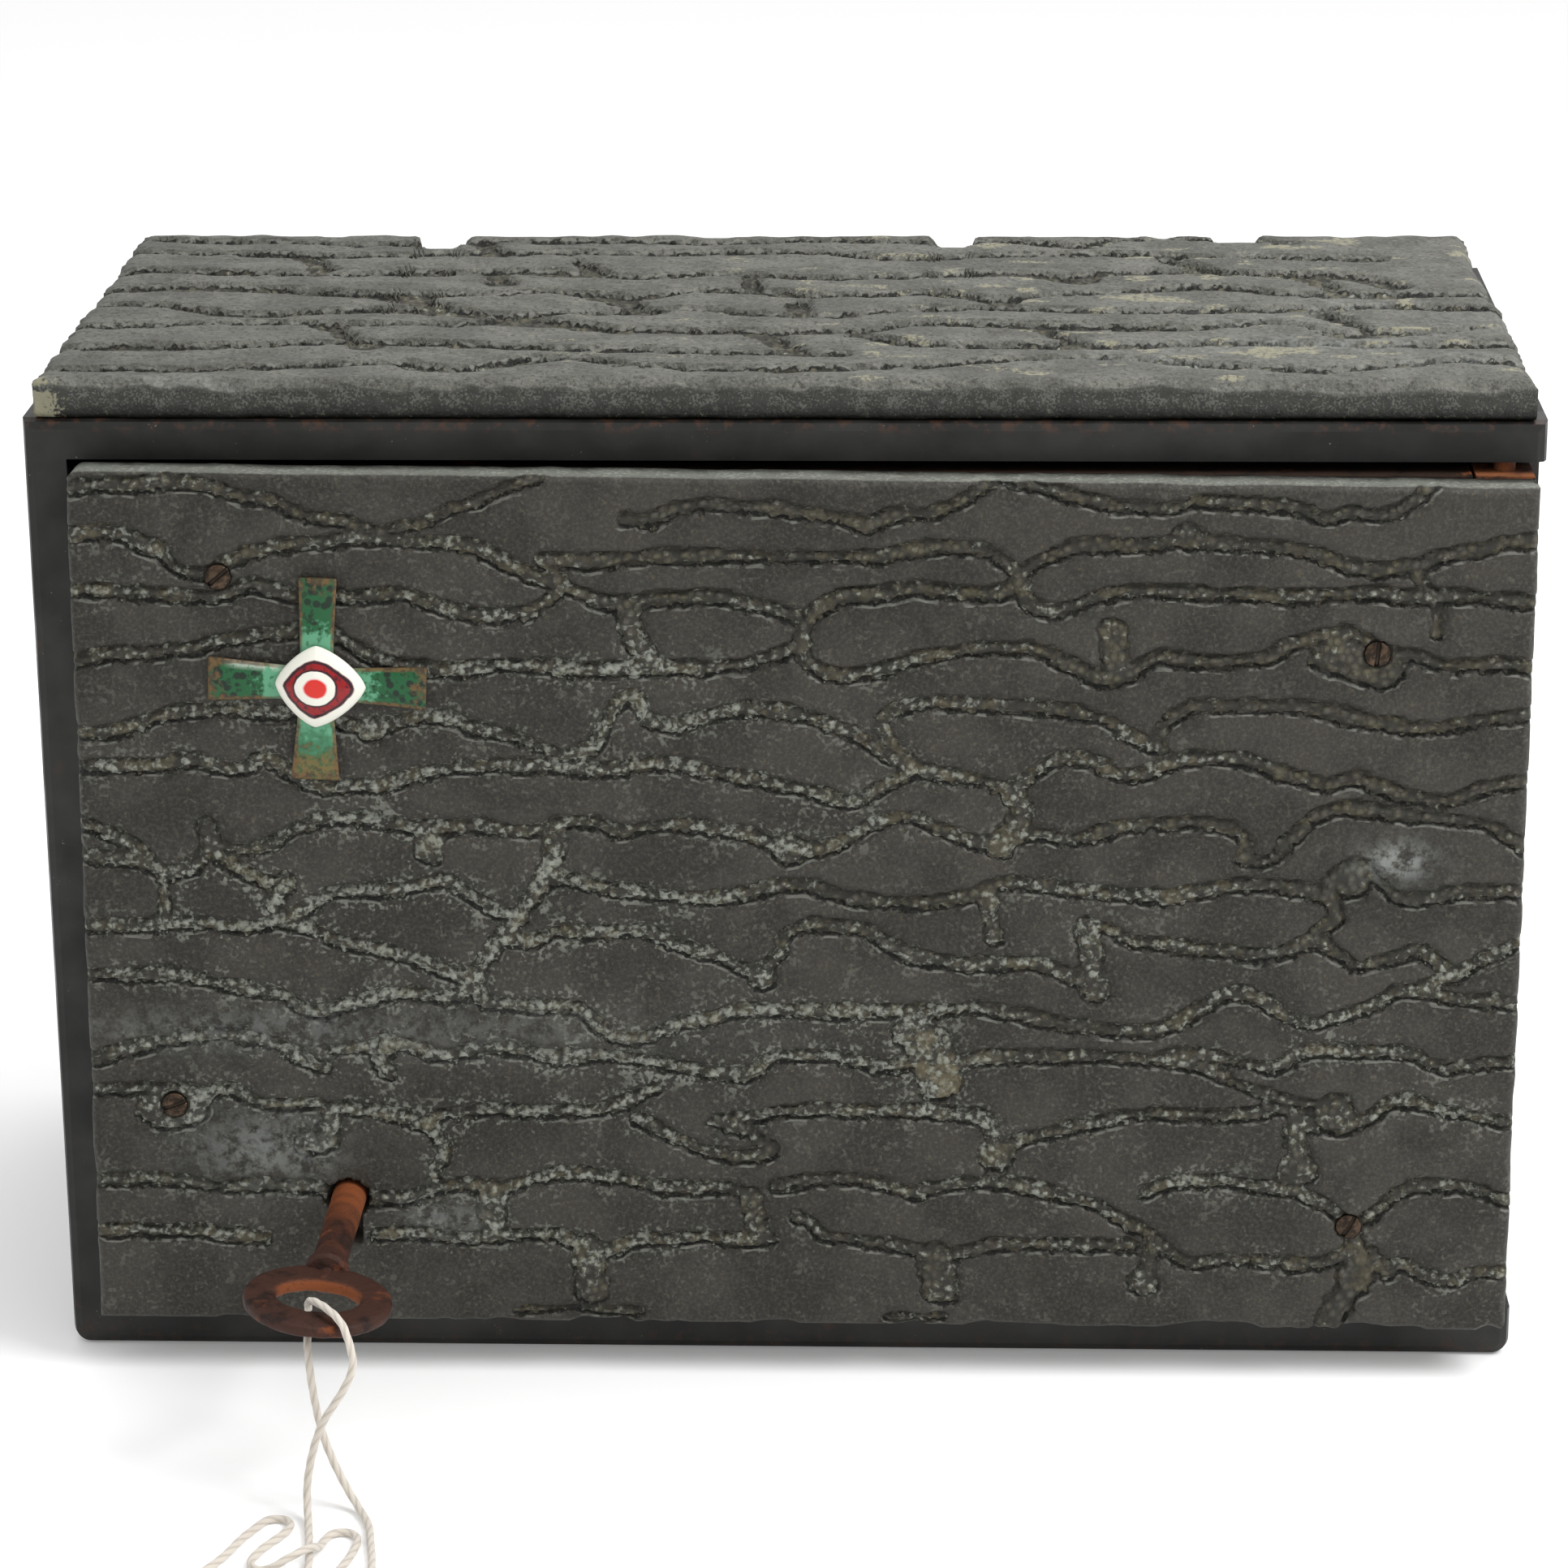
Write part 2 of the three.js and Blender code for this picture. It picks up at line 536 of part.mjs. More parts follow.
// Lock case behind the tray, hollow where the key's bit turns.
function buildLockCase() {
  const middleX = KEY_X + LOCK_OFFSET_X;
  const body = solid(block(
    middleX - LOCK_WIDTH / 2, middleX + LOCK_WIDTH / 2, LOCK_FRONT, LOCK_FRONT + LOCK_DEPTH,
    KEY_Z - LOCK_HEIGHT / 2, KEY_Z + LOCK_HEIGHT / 2));
  const chamber = axle(
    CHAMBER_RADIUS, KEY_X, KEY_Z, LOCK_FRONT + LOCK_WALL, LOCK_FRONT + LOCK_DEPTH - LOCK_WALL, 32);
  const keyhole = keyholeCutter(LOCK_FRONT - 1, LOCK_FRONT + LOCK_WALL + 1);
  return geometryOf(cutAll(body, [solid(chamber), keyhole]));
}

// Key: shank, bit, collar and an oval ring, rolled a little about its shank.
function buildKey() {
  const shankBack = LOCK_FRONT + LOCK_DEPTH - LOCK_WALL - BIT_CLEARANCE;
  const shankFront = BOW_Y + BOW_HOLE_LENGTH / 2 + 1;
  const shank = axle(SHANK_DIAMETER / 2, 0, 0, shankFront + BOW_THICKNESS, shankBack, 20);
  const neck = axle(
    BOW_THICKNESS / 2 + NECK_MARGIN, 0, 0, shankFront + 2, shankFront + 2 * BOW_THICKNESS, 12);
  const collarY = BOW_Y + BOW_LENGTH / 2 - 2;
  const collar = axle(COLLAR_DIAMETER / 2, 0, 0, collarY, collarY + COLLAR_LENGTH, 20);
  const bit = block(
    -BIT_THICKNESS / 2, BIT_THICKNESS / 2, LOCK_FRONT + LOCK_WALL + BIT_CLEARANCE, shankBack,
    BIT_CLEARANCE + 1 - CHAMBER_RADIUS, 0);
  const oval = new THREE.Shape();
  oval.absellipse(0, BOW_Y, BOW_WIDTH / 2, BOW_LENGTH / 2, 0, 2 * Math.PI);
  const eye = new THREE.Path();
  eye.absellipse(0, BOW_Y, BOW_HOLE_WIDTH / 2, BOW_HOLE_LENGTH / 2, 0, 2 * Math.PI, true);
  oval.holes.push(eye);
  const bow = new THREE.ExtrudeGeometry(oval, {
    depth: BOW_THICKNESS - 2 * BOW_BEVEL,
    bevelEnabled: true,
    bevelThickness: BOW_BEVEL,
    bevelSize: BOW_BEVEL,
    bevelOffset: -BOW_BEVEL,
    bevelSegments: 1,
    curveSegments: BOW_FACETS,
  }).translate(0, 0, BOW_BEVEL - BOW_THICKNESS / 2);
  const shankStart = block(
    -SHANK_DIAMETER, SHANK_DIAMETER, BOW_Y - BOW_LENGTH, BOW_Y + BOW_LENGTH / 2 - 1,
    -SHANK_DIAMETER, SHANK_DIAMETER);
  const stem = solid(shank).subtract(solid(shankStart));
  const key = joinAll([stem, ...[neck, collar, bit, bow].map(solid)]);
  const geometry = geometryOf(key);
  return geometry.rotateY(THREE.MathUtils.degToRad(KEY_ROLL)).translate(KEY_X, 0, KEY_Z);
}

// A slotted screw whose head sits in the slab's seat and whose shank passes the tray.
function buildScrew({ x, z, turn }) {
  const seatFloor = SLAB_FRONT + CHANNEL_DEPTH;
  const headBack = seatFloor - SEAT;
  const head = axle(SCREW_HEAD / 2, 0, 0, headBack - SCREW_HEAD_HEIGHT, headBack, 16);
  const tip = TRAY_FRONT + SHEET + SCREW_TAIL;
  const shank = axle(SCREW_SHANK / 2, 0, 0, headBack - SCREW_HEAD_HEIGHT / 2, tip, 12);
  const slot = block(
    -SCREW_HEAD, SCREW_HEAD,
    headBack - 2 * SCREW_HEAD_HEIGHT, headBack - SCREW_HEAD_HEIGHT + SCREW_SLOT_DEPTH,
    -SCREW_SLOT_WIDTH / 2, SCREW_SLOT_WIDTH / 2);
  const screw = solid(head).add(solid(shank)).subtract(solid(slot));
  return geometryOf(screw).rotateY(THREE.MathUtils.degToRad(-turn)).translate(x, 0, z);
}

// Cross plate: four arms that widen towards their ends.
function buildCrossPlate() {
  const root = CROSS_ROOT / 2;
  const arm = (reach, end, turn) => [[root, root], [end / 2, reach], [-end / 2, reach]].map(
    ([x, z]) => new THREE.Vector2(x, z).rotateAround(new THREE.Vector2(), THREE.MathUtils.degToRad(turn)));
  const outline = [
    ...arm(CROSS_UP, CROSS_END_UP, 0),
    ...arm(CROSS_LEFT, CROSS_END_LEFT, 90),
    ...arm(CROSS_DOWN, CROSS_END_DOWN, 180),
    ...arm(CROSS_RIGHT, CROSS_END_RIGHT, 270),
  ];
  const geometry = plate(new THREE.Shape(outline), -CROSS_THICKNESS, 0);
  geometry.rotateY(THREE.MathUtils.degToRad(CROSS_TURN));
  return geometry.translate(CROSS_X, SLAB_FRONT - SEAT, CROSS_Z);
}

// Glass on the cross: a rounded lozenge with a domed front.
function buildCrossGlass() {
  const base = -SEAT - CROSS_THICKNESS - SEAT;
  const towards = (value) => Math.sign(value) * Math.abs(value) ** LOZENGE_POWER;
  const rings = [];
  for (let level = 0; level < GLASS_LEVELS; level += 1) {
    const lift = (level / GLASS_LEVELS) * (Math.PI / 2);
    const shrink = Math.cos(lift) ** DOME_POWER;
    const y = base - GLASS_RIM - (GLASS_RISE - GLASS_RIM) * Math.sin(lift);
    const ring = [];
    for (let side = 0; side < GLASS_SIDES; side += 1) {
      const angle = (side / GLASS_SIDES) * 2 * Math.PI;
      const reachX = Math.cos(angle) > 0 ? GLASS_RIGHT : GLASS_LEFT;
      const reachZ = Math.sin(angle) > 0 ? GLASS_UP : GLASS_DOWN;
      const x = reachX * towards(Math.cos(angle)) * shrink;
      const z = reachZ * towards(Math.sin(angle)) * shrink;
      ring.push(new THREE.Vector3(x, y, z));
    }
    rings.push(ring);
  }
  const foot = rings[0].map(
    (point) => new THREE.Vector3(point.x * GLASS_FOOT_SHARE, base, point.z * GLASS_FOOT_SHARE));
  const geometry = loft([foot, ...rings]);
  geometry.rotateY(THREE.MathUtils.degToRad(CROSS_TURN));
  return geometry.translate(CROSS_X, SLAB_FRONT, CROSS_Z);
}

// String: the stretch from the key's ring over its front rim and down to the coil, and the way back.
// Both are drawn for a key's ring whose middle is at STRING_DRAWN, and move with it.
const STRING_DRAWN = { x: -125, y: -187.5 };
const STRING_OVER_RIM = [
  [-127.2, -190.8, 52.8], [-126.6, -193.8, 56.8], [-124.2, -197.8, 58.6], [-120, -202.6, 58.4],
  [-116, -207, 56.6],
  [-113.8, -209.6, 52], [-112.9, -209.8, 45.3], [-115.8, -209.6, 38], [-121.4, -209.2, 28.8],
  [-124.4, -208.8, 21],
  [-126.6, -208.6, 11], [-126.8, -210, 4.6], [-126, -215, 1.6], [-124.4, -226, 1.3], [-122.8, -239, 1.2],
  [-122.4, -250, 1.2], [-123.4, -258.6, 1.3],
];
const STRING_RETURN = [
  [-155.8, -253, 1.6], [-151, -245.4, 1.2], [-145.6, -236, 1.2], [-142.6, -224, 1.2], [-140, -217.4, 1.2],
  [-135.6, -213.6, 1.2], [-131.4, -216, 1.2], [-131.8, -222, 1.2], [-136.4, -231, 1.2],
  [-138.8, -239.6, 1.2],
  [-134.2, -243.8, 1.4], [-127.6, -241.6, 4.2], [-122.6, -237, 4.8], [-120.6, -231, 2],
  [-119.6, -224.4, 1.2],
  [-116, -220.8, 1.2], [-112.2, -224.2, 1.2], [-111.6, -231, 1.2], [-112.6, -238, 1.2],
  [-114.2, -244, 1.2],
  [-111.2, -249.4, 1.2], [-106.6, -247, 1.2], [-106.2, -239, 1.2], [-107.6, -227, 1.2],
  [-109.4, -216.6, 1.2],
  [-113.2, -207.4, 1.8], [-116.4, -204, 5.4], [-120.2, -203.2, 13.6], [-123, -203, 22.3],
  [-124.6, -202.8, 31],
  [-125.8, -202, 40], [-126.6, -198.8, 46.8], [-127.2, -193.6, 49.2], [-127.3, -191, 51.6],
];

function buildTube(knots) {
  const path = new THREE.CatmullRomCurve3(
    knots.map(([x, y, z]) => new THREE.Vector3(x + KEY_X - STRING_DRAWN.x, y + BOW_Y - STRING_DRAWN.y, z)),
    false, "catmullrom", 0.5);
  const section = new THREE.Shape();
  for (let side = 0; side <= STRING_SIDES; side += 1) {
    const angle = (side / STRING_SIDES) * 2 * Math.PI;
    const x = Math.cos(angle) * STRING_DIAMETER / 2;
    const y = Math.sin(angle) * STRING_DIAMETER / 2;
    if (side === 0) {
      section.moveTo(x, y);
    } else {
      section.lineTo(x, y);
    }
  }
  const steps = Math.ceil(path.getLength() / STRING_STEP);
  return new THREE.ExtrudeGeometry(section, { steps, extrudePath: path, bevelEnabled: false });
}

function buildCoil() {
  const profile = [
    [COIL_INNER, 0], [COIL_OUTER, 0], [COIL_OUTER, COIL_HEIGHT], [COIL_INNER, COIL_HEIGHT],
    [COIL_INNER, 0],
  ];
  const geometry = new THREE.LatheGeometry(profile.map(([r, h]) => new THREE.Vector2(r, h)), 20);
  return geometry.rotateX(Math.PI / 2).translate(COIL_X, COIL_Y, 0);
}

// The tabernacle, with its door group last.
const tabernacle = new THREE.Group();
const door = new THREE.Group();
tabernacle.add(door);

function place(group, name, geometry, material) {
  const mesh = new THREE.Mesh(geometry, material);
  mesh.name = name;
  group.add(mesh);
}

place(tabernacle, "case", buildCase(), BLACKENED_STEEL);
place(tabernacle, "top_slab", buildTopSlab(), CAST_BRONZE);
place(door, "door_slab", buildDoorSlab(), CAST_BRONZE);
place(door, "door_tray", buildDoorTray(), RUSTY_STEEL);
place(door, "hinge_stile", buildHingeStile(), RUSTY_STEEL);
place(door, "lock_case", buildLockCase(), RUSTY_STEEL);
place(door, "key", buildKey(), KEY_IRON);
place(door, "cross_plate", buildCrossPlate(), GREEN_ENAMEL);
place(door, "cross_glass", buildCrossGlass(), WHITE_GLASS);
for (const screw of SCREWS) {
  place(door, screw.name, buildScrew(screw), SCREW_BRASS);
}
place(door, "string_over_rim", buildTube(STRING_OVER_RIM), STRING_COTTON);
place(door, "string_return", buildTube(STRING_RETURN), STRING_COTTON);
place(door, "string_coil", buildCoil(), STRING_COTTON);

export default tabernacle;
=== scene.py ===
"""Looks of an altar tabernacle: two cast bronze slabs in relief on a blackened steel case.

The door slab carries an enamelled cross and four screws, and a rusty key with a cotton string stands in
the lock. Sizes are in millimetres until a mesh is made, and the frame is the CAD's: +X to the right, +Y to
the back and +Z up.
"""

import logging
import math
from collections.abc import Callable
from dataclasses import dataclass, field
from enum import Enum
from functools import cache

import bpy
import numpy as np
from mathutils import Matrix, Vector


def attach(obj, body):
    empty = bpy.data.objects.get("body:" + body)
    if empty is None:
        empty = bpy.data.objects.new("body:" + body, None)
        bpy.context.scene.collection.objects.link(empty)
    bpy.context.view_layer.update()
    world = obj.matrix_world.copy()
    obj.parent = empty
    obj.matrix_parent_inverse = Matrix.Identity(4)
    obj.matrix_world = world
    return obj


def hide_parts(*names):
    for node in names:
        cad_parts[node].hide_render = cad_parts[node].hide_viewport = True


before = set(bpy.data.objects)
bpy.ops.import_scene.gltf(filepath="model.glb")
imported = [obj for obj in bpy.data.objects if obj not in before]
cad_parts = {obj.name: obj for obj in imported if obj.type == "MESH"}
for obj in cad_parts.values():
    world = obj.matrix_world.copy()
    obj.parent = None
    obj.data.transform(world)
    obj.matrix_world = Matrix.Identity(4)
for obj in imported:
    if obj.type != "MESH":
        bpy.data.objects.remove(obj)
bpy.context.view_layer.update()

MM = 0.001
Colour = tuple[float, float, float]
Point = tuple[float, float, float]
Spots = tuple[tuple[float, float, float, float, float], ...]
Courses = list[tuple[float, ...]]
Socket = bpy.types.NodeSocket
Value = Socket | float
log = logging.getLogger("tabernacle")

# The mark edge of a point that lies outside every channel, in millimetres
PLAIN = 5.0
# Places in the door that more than one piece takes: x and z
KEY_AXIS = (-125.0, 54.0)
SCREW_PLACES = {
    "top_left": (-154.8, 239.0),
    "top_right": (164.0, 218.0),
    "bottom_left": (-174.0, 82.5),
    "bottom_right": (161.0, 47.5),
}


class Body(Enum):
    """The moving bodies of the frame."""

    CASE = "case"
    DOOR = "door"


class Slot(Enum):
    """The record's material slots."""

    BLACKENED_STEEL = "blackened_steel"
    CAST_BRONZE = "cast_bronze"
    RUSTY_STEEL = "rusty_steel"
    SCREW_BRONZE = "screw_bronze"
    KEY_IRON = "key_iron"
    ENAMELLED_COPPER = "enamelled_copper"
    CROSS_GLASS = "cross_glass"
    COTTON_STRING = "cotton_string"


# Numbers worked out as whole arrays


def smooth(value: np.ndarray, low: float, high: float) -> np.ndarray:
    """Rises from 0 at low to 1 at high along 3t squared less 2t cubed; low may be above high.

    Args:
        value: numbers to map.
        low: where the result is 0.
        high: where the result is 1.

    Returns:
        An array of the same shape, from 0 to 1.
    """
    t = np.clip((value - low) / (high - low), 0.0, 1.0)
    return t * t * (3 - 2 * t)


def signed_power(value: np.ndarray, power: float) -> np.ndarray:
    """The value's size to a power, with its sign kept: below 1 it squares a circle's cosine or sine off."""
    return np.sign(value) * np.abs(value) ** power


def bells(a: np.ndarray, b: np.ndarray, spots: Spots) -> np.ndarray:
    """Sum of soft spots, each a height times e to the power of minus the two squared offsets over widths.

    Args:
        a: first coordinate of each point.
        b: second coordinate.
        spots: height, centre along a and b, and width along a and b of each spot.

    Returns:
        The sum at each point.
    """
    total = np.zeros_like(a)
    for height, centre_a, centre_b, width_a, width_b in spots:
        total += height * np.exp(-(((a - centre_a) / width_a) ** 2) - ((b - centre_b) / width_b) ** 2)
    return total


def catmull_rom(knots: np.ndarray, step: float) -> np.ndarray:
    """Points along a uniform Catmull-Rom curve, with each end knot mirrored in its neighbour's place.

    Between knots b and c, with a before and d after, the point at t is the cubic with the values b and c
    and the slopes (c - a) / 2 and (d - b) / 2 at its ends.

    Args:
        knots: array of n points.
        step: distance wanted between points.

    Returns:
        Points in order, from the first knot to the last.
    """
    ends = np.vstack([2 * knots[0] - knots[1], knots, 2 * knots[-1] - knots[-2]])
    spans = np.linalg.norm(np.diff(knots, axis=0), axis=1)
    pieces = []
    for i, span in enumerate(spans):
        a, b, c, d = ends[i:i + 4]
        t = np.linspace(0, 1, max(2, math.ceil(span / step) + 1))[:-1, None]
        pieces.append(
            b + t * (c - a) / 2
            + t**2 * (2 * a - 5 * b + 4 * c - d) / 2
            + t**3 * (3 * b - a - 3 * c + d) / 2
        )
    return np.vstack([*pieces, knots[-1:]])


def lengths_along(line: np.ndarray) -> np.ndarray:
    """Distance of each point of a line from its first, measured along the line."""
    return np.concatenate([[0], np.cumsum(np.linalg.norm(np.diff(line, axis=0), axis=1))])


def graded(low: float, high: float, count: int, places: list[tuple[float, float, float]]) -> np.ndarray:
    """Grid lines that stand closer together round some places.

    The density is 1 plus, for each place, boost times a bell curve; the lines cut its integral evenly.

    Args:
        low: first line.
        high: last line.
        count: number of lines.
        places: centre, width and boost of each bell.

    Returns:
        The lines' positions in rising order.
    """
    fine = np.linspace(low, high, 6000)
    density = np.ones_like(fine)
    for centre, width, boost in places:
        density += boost * np.exp(-(((fine - centre) / width) ** 2))
    total = np.concatenate([[0], np.cumsum((density[1:] + density[:-1]) / 2)])
    return np.interp(np.linspace(0, total[-1], count), total, fine)


class Lattice:
    """Smooth noise: random values on a square lattice, blended between the corners of each cell."""

    SIDE = 256

    def __init__(self, seed: int) -> None:
        """Draws the lattice values for a seed."""
        self.values = np.random.default_rng(seed).uniform(-1, 1, (self.SIDE, self.SIDE))

    def __call__(
        self, a: np.ndarray, b: np.ndarray, cell_a: float, cell_b: float | None = None,
    ) -> np.ndarray:
        """Noise from -1 to 1 at the points (a, b).

        Args:
            a: first coordinate.
            b: second coordinate.
            cell_a: cell size along a.
            cell_b: cell size along b, the same as along a if left out.

        Returns:
            An array of the points' shape.
        """
        u, v = a / cell_a, b / (cell_b or cell_a)
        i, j = np.floor(u).astype(int), np.floor(v).astype(int)
        s, t = smooth(u - i, 0, 1), smooth(v - j, 0, 1)
        low_i, low_j, high_i, high_j = (k % self.SIDE for k in (i, j, i + 1, j + 1))
        near = self.values[low_i, low_j] * (1 - s) + self.values[high_i, low_j] * s
        far = self.values[low_i, high_j] * (1 - s) + self.values[high_i, high_j] * s
        return near * (1 - t) + far * t


def square_to_disc(p: np.ndarray, q: np.ndarray) -> tuple[np.ndarray, np.ndarray]:
    """Carries the square from -1 to 1 onto the unit disc.

    Args:
        p: first coordinate.
        q: second coordinate.

    Returns:
        p times the root of 1 less half of q squared, and q likewise.
    """
    return p * np.sqrt(1 - q**2 / 2), q * np.sqrt(1 - p**2 / 2)


def angles(count: int) -> np.ndarray:
    """Evenly spaced angles of one turn, in radians."""
    return np.linspace(0, 2 * math.pi, count, endpoint=False)


def grid_quads(
    rows: int, columns: int, start: int = 0, ring: bool = False, loop: bool = False,
) -> np.ndarray:
    """Corner numbers of the quads of a grid whose points are stored row by row.

    Args:
        rows: number of rows of points.
        columns: number of points in a row.
        start: number of the grid's first point.
        ring: joins the last column to the first.
        loop: joins the last row to the first.

    Returns:
        An array with four corner numbers for each quad.
    """
    row, column = np.arange(rows if loop else rows - 1), np.arange(columns if ring else columns - 1)
    j, i = np.meshgrid(row, column, indexing="ij")
    down, right = (j + 1) % rows * columns, (i + 1) % columns
    corners = [j * columns + i, j * columns + right, down + right, down + i]
    return np.stack(corners, axis=-1).reshape(-1, 4) + start


def border(rows: int, columns: int) -> np.ndarray:
    """Numbers of a grid's border points, once round from its first corner."""
    number = np.arange(rows * columns).reshape(rows, columns)
    return np.concatenate([number[0, :-1], number[:-1, -1], number[-1, :0:-1], number[:0:-1, 0]])


def wall_quads(ring: np.ndarray, first: int) -> np.ndarray:
    """Quads between a ring of points and as many points behind them, which are numbered from first."""
    step = np.arange(len(ring))
    return np.stack([ring, first + step, first + (step + 1) % len(ring), np.roll(ring, -1)], axis=-1)


@dataclass
class Skin:
    """Points and faces of one closed surface in millimetres, with numbers stored on its points."""

    points: np.ndarray
    quads: np.ndarray
    caps: list[list[int]] = field(default_factory=list)
    marks: dict[str, np.ndarray] = field(default_factory=dict)

    def volume(self) -> float:
        """Signed volume: the sum of the tetrahedra from the origin to each triangle of each face.

        Returns:
            The volume, which is negative where the faces point inwards.
        """
        total = 0.0
        corners = self.points[self.quads]
        for second, third in ((1, 2), (2, 3)):
            normal = np.cross(corners[:, second], corners[:, third])
            total += np.einsum("ij,ij->", corners[:, 0], normal) / 6
        for cap in self.caps:
            fan = self.points[cap]
            total += float((np.cross(fan[1:-1], fan[2:]) @ fan[0]).sum()) / 6
        return float(total)

    def outward(self) -> "Skin":
        """Turns the faces outwards.

        Returns:
            This skin.
        """
        if self.volume() < 0:
            self.quads = self.quads[:, ::-1]
            self.caps = [cap[::-1] for cap in self.caps]
        return self

    def joined(self, other: "Skin") -> "Skin":
        """Puts this skin and another together.

        Args:
            other: the other skin.

        Returns:
            A skin with the other's points after this one's, and a mark that one of them lacks as 0 there.
        """
        count = len(self.points)
        marks = {}
        for name in {**self.marks, **other.marks}:
            first = self.marks.get(name, np.zeros(count))
            marks[name] = np.concatenate([first, other.marks.get(name, np.zeros(len(other.points)))])
        return Skin(
            np.vstack([self.points, other.points]),
            np.vstack([self.quads, other.quads + count]),
            self.caps + [[k + count for k in cap] for cap in other.caps],
            marks,
        )


def tube(rings: np.ndarray, marks: dict[str, np.ndarray] | None = None) -> Skin:
    """A closed skin over rings of points, capped at both ends.

    Args:
        rings: array of rings, each with the same number of points.
        marks: numbers for each point of each ring.

    Returns:
        The skin, with its faces outwards.
    """
    rows, columns, _ = rings.shape
    first, last = list(range(columns)), list(range((rows - 1) * columns, rows * columns))
    stored = {name: value.reshape(-1) for name, value in (marks or {}).items()}
    quads = grid_quads(rows, columns, ring=True)
    return Skin(rings.reshape(-1, 3), quads, [first[::-1], last], stored).outward()


def turned(profile: np.ndarray, sides: int) -> np.ndarray:
    """Rings of a shape turned about the Y axis: each point (radius, y) of a profile becomes a circle.

    Args:
        profile: radius and y of each ring.
        sides: points on each ring.

    Returns:
        Rings for tube().
    """
    angle = angles(sides)
    radius, y = profile[:, :1], profile[:, 1:]
    return np.stack([radius * np.cos(angle), y + 0 * angle, radius * np.sin(angle)], axis=-1)


def about_y(points: np.ndarray, degrees: float) -> np.ndarray:
    """Points turned about the Y axis: z goes towards x for a positive angle."""
    c, s = math.cos(math.radians(degrees)), math.sin(math.radians(degrees))
    return points @ np.array([[c, 0, -s], [0, 1, 0], [s, 0, c]])


@dataclass(frozen=True)
class Piece:
    """A finished piece: its name, its body, its slot and the CAD nodes that it stands for."""

    name: str
    body: Body
    slot: Slot
    stands_for: tuple[str, ...]

    def build(self, skin: Skin, material: bpy.types.Material) -> bpy.types.Object:
        """Makes the object from its skin and sets it on its body.

        Args:
            skin: the closed surface in millimetres.
            material: its finish.

        Returns:
            The object, at the origin, with its place in its mesh.
        """
        mesh = bpy.data.meshes.new(self.name)
        mesh.from_pydata((skin.points * MM).tolist(), [], skin.quads.tolist() + skin.caps)
        mesh.polygons.foreach_set("use_smooth", np.ones(len(mesh.polygons), bool))
        for name, value in skin.marks.items():
            attribute = mesh.attributes.new(name, "FLOAT", "POINT")
            attribute.data.foreach_set("value", value.astype(np.float32))
        mesh.materials.append(material)
        mesh.update()
        obj = bpy.data.objects.new(self.name, mesh)
        bpy.context.scene.collection.objects.link(obj)
        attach(obj, self.body.value)
        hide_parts(*self.stands_for)
        log.info("%s: %d points, on %s", self.name, len(skin.points), self.body.value)
        return obj


# Finishes


